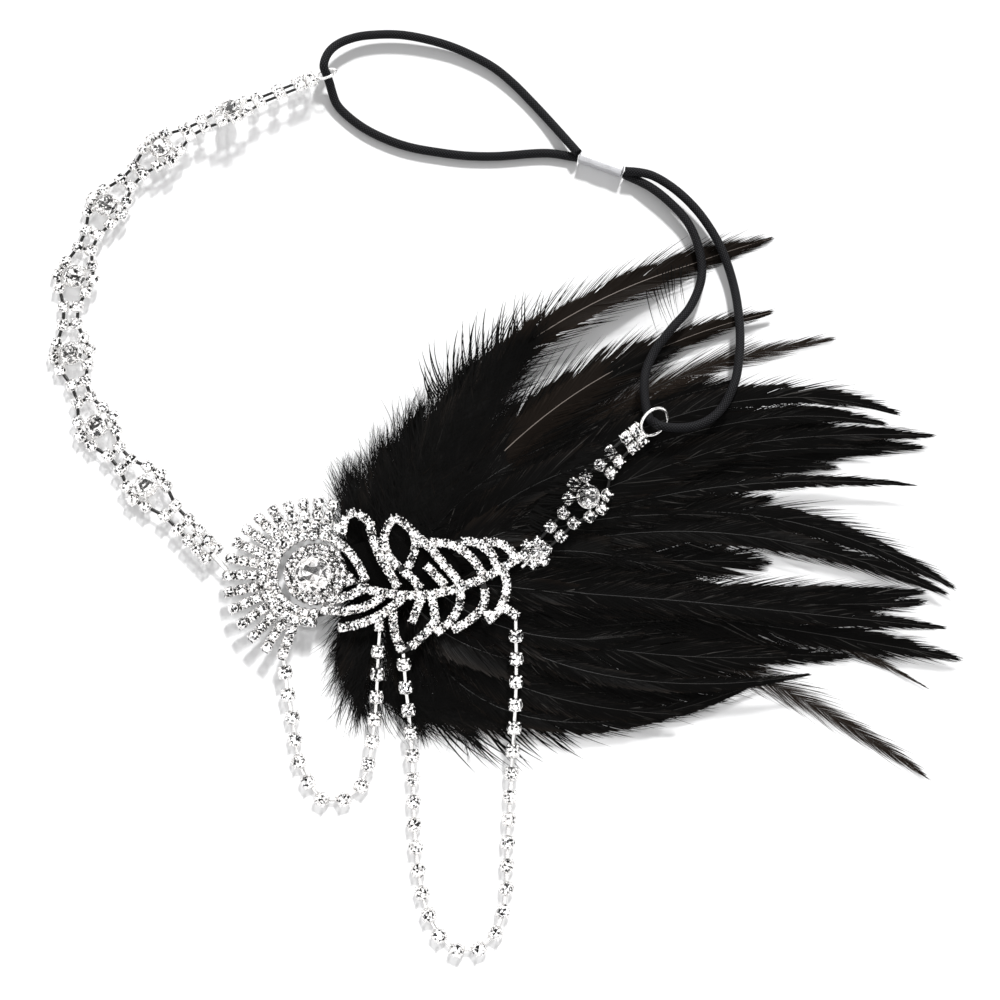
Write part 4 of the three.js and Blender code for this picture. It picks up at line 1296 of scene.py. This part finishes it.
class HEADPIECE_OT_stage(bpy.types.Operator):
    """Makes the camera, the floor and the light"""

    bl_idname = "headpiece.stage"
    bl_label = "Stage"

    def execute(self, context):
        scene = context.scene
        self.make_camera(scene)
        self.make_floor(scene)
        self.make_key(scene)
        self.make_studio(scene)
        scene.view_settings.view_transform = "Standard"
        return {"FINISHED"}

    def make_camera(self, scene):
        camera = bpy.data.objects.new("camera", bpy.data.cameras.new("camera"))
        camera.data.lens, camera.data.sensor_width = VIEW.lens, VIEW.sensor
        back = Vector((0, -math.cos(VIEW.elevation), math.sin(VIEW.elevation)))
        camera.location = Vector(in_row(VIEW.target)) + back * VIEW.distance * MM
        camera.rotation_euler = back.to_track_quat("Z", "Y").to_euler()
        scene.collection.objects.link(camera)
        scene.camera = camera

    def make_floor(self, scene):
        """A wide square of table."""
        mesh = bpy.data.meshes.new("floor")
        reach = FLOOR.reach
        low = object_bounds()[0].z - FLOOR.below
        corners = [(-reach, -reach, low), (reach, -reach, low), (reach, reach, low), (-reach, reach, low)]
        mesh.from_pydata(corners, [], [(0, 1, 2, 3)])
        mesh.materials.append(table_top())
        floor = bpy.data.objects.new("floor", mesh)
        scene.collection.objects.link(floor)
        floor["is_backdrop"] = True

    def make_key(self, scene):
        """The key light, which comes from the back."""
        key = bpy.data.objects.new("key", bpy.data.lights.new("key", "SUN"))
        key.data.energy, key.data.angle = scene.headpiece_finish.key, KEY.angle
        key.rotation_euler = Vector(KEY.way).to_track_quat("Z", "Y").to_euler()
        scene.collection.objects.link(key)

    def make_studio(self, scene):
        """An even fill, and for gloss a pale studio with dark gaps between its panels."""
        world = bpy.data.worlds.new("studio")
        world.use_nodes = True
        tree = world.node_tree
        panels = clouds(tree, add_node(tree, "TexCoord").outputs["Generated"], STUDIO.scale, detail=1)
        studio = add_node(tree, "ValToRGB", {"Fac": panels})
        for stop, (position, grey) in zip(studio.color_ramp.elements, STUDIO.stops):
            stop.position, stop.color = position, (grey, grey, grey, 1)
        seen = add_node(tree, "LightPath").outputs
        even = worked_out(tree, "MAXIMUM", seen["Is Camera Ray"], seen["Is Diffuse Ray"])
        shade = blend(tree, even, studio.outputs["Color"], (1, 1, 1, 1))
        feed(tree, tree.nodes["Background"], {"Color": shade, "Strength": scene.headpiece_finish.sky})
        scene.world = world


class HEADPIECE_OT_elastic(bpy.types.Operator):
    """Makes the two loops of braided elastic and the crimp that holds their ends"""

    bl_idname = "headpiece.elastic"
    bl_label = "Elastic and crimp"

    def execute(self, context):
        crimp = self.make_crimp(context)
        band = band_path()
        side = smooth_route(SIDE.route)
        left = end_ring(band, 0, band_lean([0.0]))
        right = end_ring(side, side.length, side_lean([side.length], side.length))
        self.make_loop(context, "elastic_left_braid", ELASTIC_LEFT, left, "elastic_left", [crimp])
        self.make_loop(context, "elastic_right_braid", ELASTIC_RIGHT, right, "elastic_right", [])
        return {"FINISHED"}

    def make_loop(self, context, name, route, ring_at, node, with_pieces):
        """A tube along the loop's route, which runs straight through its ring.

        Its UV counts the cover's plaits, along the loop and round it.
        """
        diameter = context.scene.headpiece_sizes.elastic_diameter / MM
        centre, axes = ring_at
        on_axis = [centre + axes[2] * step * THREADING for step in (-1, 0, 1)]
        path = smooth_route([*route.before, *on_axis, *route.after])
        distances = np.linspace(0, path.length, int(path.length / BRAID.step))
        points, faces = tube(path, distances, diameter / 2, BRAID.sides)
        section = np.arange(BRAID.sides)
        plait = diameter * np.pi / BRAID.plaits
        lengthwise = np.repeat(distances / plait, BRAID.sides)
        uv = np.stack([lengthwise, np.tile(section * BRAID.plaits / BRAID.sides, len(distances))], -1)
        piece = Piece(name, "elastic", braid())
        piece.add(points, faces, uv, smooth=True)
        piece.add_faces(np.array([section[::-1], (len(distances) - 1) * BRAID.sides + section]))
        cord = piece.build(node)
        line = in_row(path.at(distances))

    def make_crimp(self, context):
        """A flattened tube: a stadium outline carried along its axis, pressed in at two places.

        Its wall runs along the outside, round a rolled end, back along the inside and round the other end.
        """
        colour = context.scene.headpiece_finish.steel
        steel = metal("crimp_steel", colour, rough=0.12, scale=500, bump=0.2)
        start, end = np.array(CRIMP.start), np.array(CRIMP.end)
        length = np.hypot(*(end - start)) - 2 * GAP
        along = np.array([*unit(end - start), 0])
        across = np.cross(UP, along)
        middle = np.array([*((start + end) / 2), 0])
        outside = np.linspace(-0.5, 0.5, 34)
        roll = np.linspace(0, np.pi, 7)[1:-1]
        rolled = length / 2 - CRIMP.roll_back + CRIMP.roll * np.sin(roll)
        x = [outside * length, rolled, outside[::-1] * (length - 2 * CRIMP.roll), -rolled]
        share = (1 - np.cos(roll)) / 2
        inset = CRIMP.wall * np.concatenate([0 * outside, share, 1 + 0 * outside, 1 - share])
        dents = [(outside + side * CRIMP.press_at) / CRIMP.press_wide for side in (-1, 1)]
        press = np.exp(-(dents[0] ** 2)) + np.exp(-(dents[1] ** 2))
        pressed = CRIMP.press * np.concatenate([press, 0 * roll, press[::-1], 0 * roll])
        x = np.concatenate(x)[:, None]
        angle = around(CRIMP.sides)[None, :]
        radius = CRIMP.wide / 2 - (inset + pressed)[:, None]
        straight = np.sign(np.sin(angle)) * (CRIMP.tall - CRIMP.wide) / 2
        level = CRIMP.tall / 2 + straight + radius * np.sin(angle)
        aside = radius * np.cos(angle)
        points = middle + x[..., None] * along + aside[..., None] * across + level[..., None] * UP
        piece = Piece("crimp_tube", "crimp_steel", steel)
        piece.add(points, grid_faces(len(x), CRIMP.sides, round_columns=True, round_rows=True), smooth=True)
        return piece.build("crimp")


class HEADPIECE_OT_ornament(bpy.types.Operator):
    """Sets the ornament's stones: its rows, fan, halo, eye and triangle"""

    bl_idname = "headpiece.ornament"
    bl_label = "Ornament"

    def execute(self, context):
        self.make_rows(context.scene.headpiece_sizes)
        self.make_eye()
        return {"FINISHED"}

    def make_rows(self, sizes):
        """Lines of cups on thin spines of metal: a stone in each cup, and four beads over its edge."""
        rng = np.random.default_rng(SEED)
        pitch, radius = sizes.pave_pitch / MM, sizes.pave_radius / MM
        piece = Piece("ornament_rows", "silver", silver(), foil(), painted_shade_silver())
        stones, runs, sizing = [], [], []
        for line, size in stone_lines():
            count = max(2, round(line.length / (pitch * size)))
            at = (np.arange(count) + 0.5) * line.length / count
            stones.append(line.at(at))
            runs.append(line.along(at))
            sizing.append(np.full(count, size))
            # The bars under the cups are near-black silver, painted shade between the stones
            piece.add(*self.spine(line, PAVE.spine * size), finish=PAINTED_SHADE)
        stones, runs, sizing = (np.concatenate(part) for part in (stones, runs, sizing))
        kept = spread_out(stones, PAVE.apart * pitch * sizing)
        stones, sizing = stones[kept], sizing[kept]
        axes = ornament_axes(runs[kept])
        places = on_ornament(np.column_stack([stones, np.zeros(len(stones))]))
        sized = np.column_stack([sizing, sizing, np.ones(len(sizing))])[..., None]
        cup = turned([(0.85 * radius, 0.3), (1.06 * radius, 1.7), (0.95 * radius, 2)], 8)
        piece.add_copies(cup, axes * sized, places, smooth=True)
        points, faces = bead(sizes.bead_radius / MM, PAVE.bead_height, sides=5)
        corner = points + [1.04 * radius, 0, ORNAMENT.depth - 0.25]
        piece.add_copies(turned_copies((corner, faces), 4, math.pi / 4), axes * sized, places, smooth=True)
        turn = rng.uniform(0, 2 * np.pi, len(stones))
        leant = spun(axes, turn, rng.uniform(0, PAVE.lean, len(stones)))
        piece.add_copies(star_cut(radius, PAVE.middle, PAVE.top), leant * sized, places, finish=FOIL)
        self.add_triangle(piece)
        piece.build("ornament_frame")

    def spine(self, line, wide, low=0.1, high=1.1):
        """The bar under a line of cups: a rectangle carried along the line, with closed ends."""
        distance = np.linspace(0, line.length, max(2, int(line.length / 1.5)))
        middle, along = line.at(distance), line.along(distance)
        out = np.stack([-along[:, 1], along[:, 0]], -1) * wide / 2
        corners = [(-1, low), (1, low), (1, high), (-1, high)]
        level = np.ones(len(middle))
        edges = [np.column_stack([middle + side * out, height * level]) for side, height in corners]
        points = on_ornament(np.stack(edges, 1).reshape(-1, 3))
        faces = grid_faces(len(distance), 4, round_columns=True)
        ends = np.array([[3, 2, 1, 0], 4 * (len(distance) - 1) + np.arange(4)])
        return points, np.concatenate([faces, ends])

    def add_triangle(self, piece):
        """The three-cornered stone: triangles one above another, which close to a shallow hollow."""
        rings = [(1.04, -0.1), (1.0, 0.5), (0.62, 1.15), (0.28, 1.3), (0, 1.22)]
        level = ORNAMENT.depth + GAP
        points = [ring(3, wide * TRILLION.radius, level + high, TRILLION.turn) for wide, high in rings]
        points = np.concatenate(points) + [*TRILLION.at, 0]
        piece.add(on_ornament(points), grid_faces(len(rings), 3, round_columns=True), finish=FOIL)

    def make_eye(self):
        """The eye's brilliant, its bezel and its claws."""
        level = on_ornament(np.zeros((1, 3)))
        axes = ornament_axes(np.array([[1.0, 0.0]]))
        *cut, finishes = brilliant_cut(EYE_STONE)
        stone = Piece("eye_brilliant", "crystal", crystal(), deep_foil())
        stone.add_copies(cut, axes, level, finish=finishes)
        stone.build("eye_stone")
        setting = Piece("eye_setting", "silver", silver())
        girdle, middle = EYE_STONE.girdle, EYE_STONE.middle
        bezel, faces = hoop(girdle + 0.05, 0.2, turns=48)
        setting.add_copies((bezel + UP * (middle - 0.12), faces), axes, level, smooth=True)
        shoulder, tip = (girdle + 0.28, middle + 0.3), (girdle - 0.75, middle + 0.75)
        bent = claw((girdle + 0.3, EYE.floor), shoulder, tip, 0.55)
        setting.add_copies(turned_copies(bent, 8, math.pi / 8), axes, level, smooth=True)
        setting.build()


class HEADPIECE_OT_chains(bpy.types.Operator):
    """Makes the band and the side chain: cups, stones, links, large stones and end rings"""

    bl_idname = "headpiece.chains"
    bl_label = "Band and side chain"

    def execute(self, context):
        rng = np.random.default_rng(SEED + 1)
        self.make_band(rng)
        self.make_side(rng)
        return {"FINISHED"}

    def make_band(self, rng):
        path = band_path()
        chain = band_chain(path)
        piece = Piece("band_cups", "silver", silver(), foil(), painted_shade_silver())
        add_chain(piece, chain, STONE, rng, LINK.wide, link_finish=PAINTED_SHADE)
        self.add_ring(piece, end_ring(path, 0, band_lean([0.0])), BAND.ring_radius, 1.0)
        lug = (-BAND.ring_lug, *LUG)
        self.add_bar(piece, path, BAND.ring_block, band_lean([BAND.ring_block]), -BLOCK_STEP / 2, lug)
        tongue = (BAND.tongue, *TONGUE)
        self.add_bar(piece, path, BAND.fan_block, band_lean([BAND.fan_block]), BLOCK_STEP, tongue)
        self.add_large_cups(piece, chain)
        piece.build("band_chain")
        nodes = [f"band_stone_{i + 1}" for i in range(BAND.clusters)]
        self.make_large_stones("band_brilliants", chain, nodes)

    def make_side(self, rng):
        path = smooth_route(SIDE.route)
        chain = side_chain(path)
        lean = side_lean([path.length], path.length)
        piece = Piece("side_cups", "silver", silver(), foil(), painted_shade_silver())
        add_chain(piece, chain, STONE, rng, LINK.wide, link_finish=PAINTED_SHADE)
        self.add_ring(piece, end_ring(path, path.length, lean), SIDE.ring_radius, 1.15)
        lug = (SIDE.ring_lug, *LUG)
        self.add_bar(piece, path, SIDE.block, side_lean([SIDE.block], path.length), BLOCK_STEP / 2, lug)
        tongue = (-SIDE.tongue, *TONGUE)
        self.add_bar(piece, path, 0, np.array([SIDE.lean_tip]), 0, tongue, SIDE.tongue_lift)
        self.add_large_cups(piece, chain)
        piece.build("side_chain")
        self.make_large_stones("side_brilliant", chain, ["side_stone"])

    def add_ring(self, piece, ring_at, radius, long):
        """The end ring of a chain. Where long is over 1, it is longer along the chain than across it."""
        centre, axes = ring_at
        points, faces = hoop(radius, 0.5)
        piece.add_copies((points * [long, 1, 1], faces), axes[None], centre[None], smooth=True)

    def add_bar(self, piece, path, distance, lean, start, size, lift=LINK.height):
        """A bar along the chain: the lug that holds its ring, or the tongue under the ornament's edge."""
        axes, places = chain_places(path, [distance], lean)
        begin = places + axes[:, 0] * start + axes[:, 2] * lift
        piece.add_copies(link_bar(), axes * np.array(size)[:, None], begin, smooth=True)

    def add_large_cups(self, piece, chain):
        """The large stones' cups, each with four claws over its stone."""
        axes, places = (np.array(part) for part in zip(*chain.large))
        cup, girdle, middle = BIG_CUP, BIG_STONE.girdle, BIG_STONE.middle
        outside = [(0, 0), (cup.foot, 0), (cup.rim, cup.height)]
        profile = [*outside, (cup.lip, cup.height + 0.1), (cup.foot, cup.floor)]
        shoulder, tip = (cup.rim + 0.05, middle + 0.45), (girdle - 0.6, middle + 1.0)
        bent = claw((cup.rim - 0.1, cup.floor), shoulder, tip, 0.7)
        whole = joined(turned(profile, 20), turned_copies(bent, 4, math.pi / 4))
        piece.add_copies(whole, axes, places, smooth=True)

    def make_large_stones(self, name, chain, nodes):
        axes, places = (np.array(part) for part in zip(*chain.large))
        *cut, finishes = brilliant_cut(BIG_STONE)
        piece = Piece(name, "crystal", crystal(), deep_foil())
        piece.add_copies(cut, axes, places, finish=np.tile(finishes, len(places)))
        piece.build(*nodes)


class HEADPIECE_OT_swags(bpy.types.Operator):
    """Makes the two hanging loops of single cup chain"""

    bl_idname = "headpiece.swags"
    bl_label = "Hanging chains"

    def execute(self, context):
        rng = np.random.default_rng(SEED + 2)
        for name, route, node in (
            ("swag_short_cups", SWAG_SHORT, "swag_short"),
            ("swag_long_cups", SWAG_LONG, "swag_long"),
        ):
            piece = Piece(name, "silver", silver(), foil())
            add_chain(piece, swag_chain(route), SWAG_STONE, rng, LINK.swag_wide)
            piece.build(node)
        return {"FINISHED"}


class HEADPIECE_OT_plume(bpy.types.Operator):
    """Makes the plume: its felt pad, long feathers and down"""

    bl_idname = "headpiece.plume"
    bl_label = "Plume"

    def execute(self, context):
        self.make_pad()
        self.make_hackles(context.scene.headpiece_sizes)
        self.make_down()
        return {"FINISHED"}

    def make_pad(self):
        """The backing pad: an oval of felt whose top follows the ornament's back, with a rounded edge."""
        profile = np.array([(0, 0), (0.96, 0), (1, 0.12), (1, 0.85), (0.95, 1), (0, 1)], float)
        out, level = profile.T[:, :, None]
        angle = around(PAD.sides)[None, :]
        x = PAD.centre[0] + PAD.half[0] * out * np.cos(angle)
        y = PAD.centre[1] + PAD.half[1] * out * np.sin(angle)
        top = ORNAMENT.back - x * math.tan(ORNAMENT.tilt) - GAP
        piece = Piece("plume_pad", "feather", felt())
        faces = grid_faces(len(profile), PAD.sides, round_columns=True)
        piece.add(np.stack([x, y, level * top], -1), faces, smooth=True)
        piece.build("plume")

    def make_hackles(self, sizes):
        """The long feathers, each with shorter ones laid in close to it, in three pieces by layer."""
        rng = np.random.default_rng(SEED + 3)
        names = "hackle_barbs", "quills", "sheer_barbs", "raised_barbs", "shafts_painted_highlight"
        finishes = [feather_finish(name) for name in names]
        pieces = [Piece(f"plume_hackles_{i + 1}", "feather", *finishes) for i in range(3)]
        vanes, edges = barb_style(VANE_STYLE), barb_style(EDGE_STYLE)
        for number, feather in enumerate(HACKLES):
            laid = [feather]
            for _ in range(0 if number in LONE else sizes.fillers):
                laid.append(turned_feather(feather, rng.normal(0, FILLER.turn), rng.uniform(*FILLER.size)))
            for i, one in enumerate(laid):
                barb, shaft, wide, lift = "hackle_barbs", "quills", FILLER.wide, FILLER.lift * i
                if i == 0:
                    wide, lift = 1.0, RAISED.get(number, 0)
                if i == 0 and number in RAISED:
                    # The raised feathers' own quills get the shafts with a painted highlight
                    barb, shaft = "raised_barbs", "shafts_painted_highlight"
                if number in SHEER:
                    barb = "sheer_barbs"
                barb, shaft = names.index(barb), names.index(shaft)
                spine = feather_spine(one, rng.uniform(*HACKLE.lift) + lift)
                piece = pieces[min(2, one[4])]
                width = one[3] * wide
                piece.add(*vane(spine, HACKLE.vane * width, vanes, rng), smooth=True, finish=barb)
                piece.add(*strands(spine, HACKLE.fringe * width, edges, rng), finish=barb)
                piece.add(*quill(spine), smooth=True, finish=shaft)
        for piece in pieces:
            piece.build()

    def make_down(self):
        """The locks of down round the pad, and the loose barbs that are combed out past them."""
        rng = np.random.default_rng(SEED + 4)
        piece = Piece("plume_down", "feather", feather_finish("down_strands"))
        vanes, locks = barb_style(VANE_STYLE), barb_style(LOCK_STYLE)
        for lock in LOCKS:
            spine = feather_spine(lock, LOCK_LIFT)
            piece.add(*vane(spine, lock[3], vanes, rng), smooth=True)
            piece.add(*strands(spine, lock[3], locks, rng))
        for comb, own in COMBS:
            spine = feather_spine(comb, COMB_LIFT)
            piece.add(*strands(spine, comb[3], barb_style(COMB_STYLE, own), rng))
        piece.build()


class HEADPIECE_PT_panel(bpy.types.Panel):
    """Lists the pieces in the order that they are made"""

    bl_idname = "HEADPIECE_PT_panel"
    bl_label = "Feather headpiece"
    bl_space_type = "VIEW_3D"
    bl_region_type = "UI"
    bl_category = "Headpiece"

    def draw(self, context):
        for group in (context.scene.headpiece_sizes, context.scene.headpiece_finish):
            for label in group.__annotations__:
                self.layout.prop(group, label)
        for operator in OPERATORS:
            self.layout.operator(operator.bl_idname)


OPERATORS = (
    HEADPIECE_OT_stage,
    HEADPIECE_OT_elastic,
    HEADPIECE_OT_ornament,
    HEADPIECE_OT_chains,
    HEADPIECE_OT_swags,
    HEADPIECE_OT_plume,
)
CLASSES = (HeadpieceSizes, HeadpieceFinish, *OPERATORS, HEADPIECE_PT_panel)


def register():
    for cls in CLASSES:
        bpy.utils.register_class(cls)
    bpy.types.Scene.headpiece_sizes = PointerProperty(type=HeadpieceSizes)
    bpy.types.Scene.headpiece_finish = PointerProperty(type=HeadpieceFinish)


def unregister():
    del bpy.types.Scene.headpiece_finish
    del bpy.types.Scene.headpiece_sizes
    for cls in reversed(CLASSES):
        bpy.utils.unregister_class(cls)


def main():
    register()
    for operator in OPERATORS:
        group, name = operator.bl_idname.split(".")
        getattr(getattr(bpy.ops, group), name)()


if __name__ == "__main__":
    main()
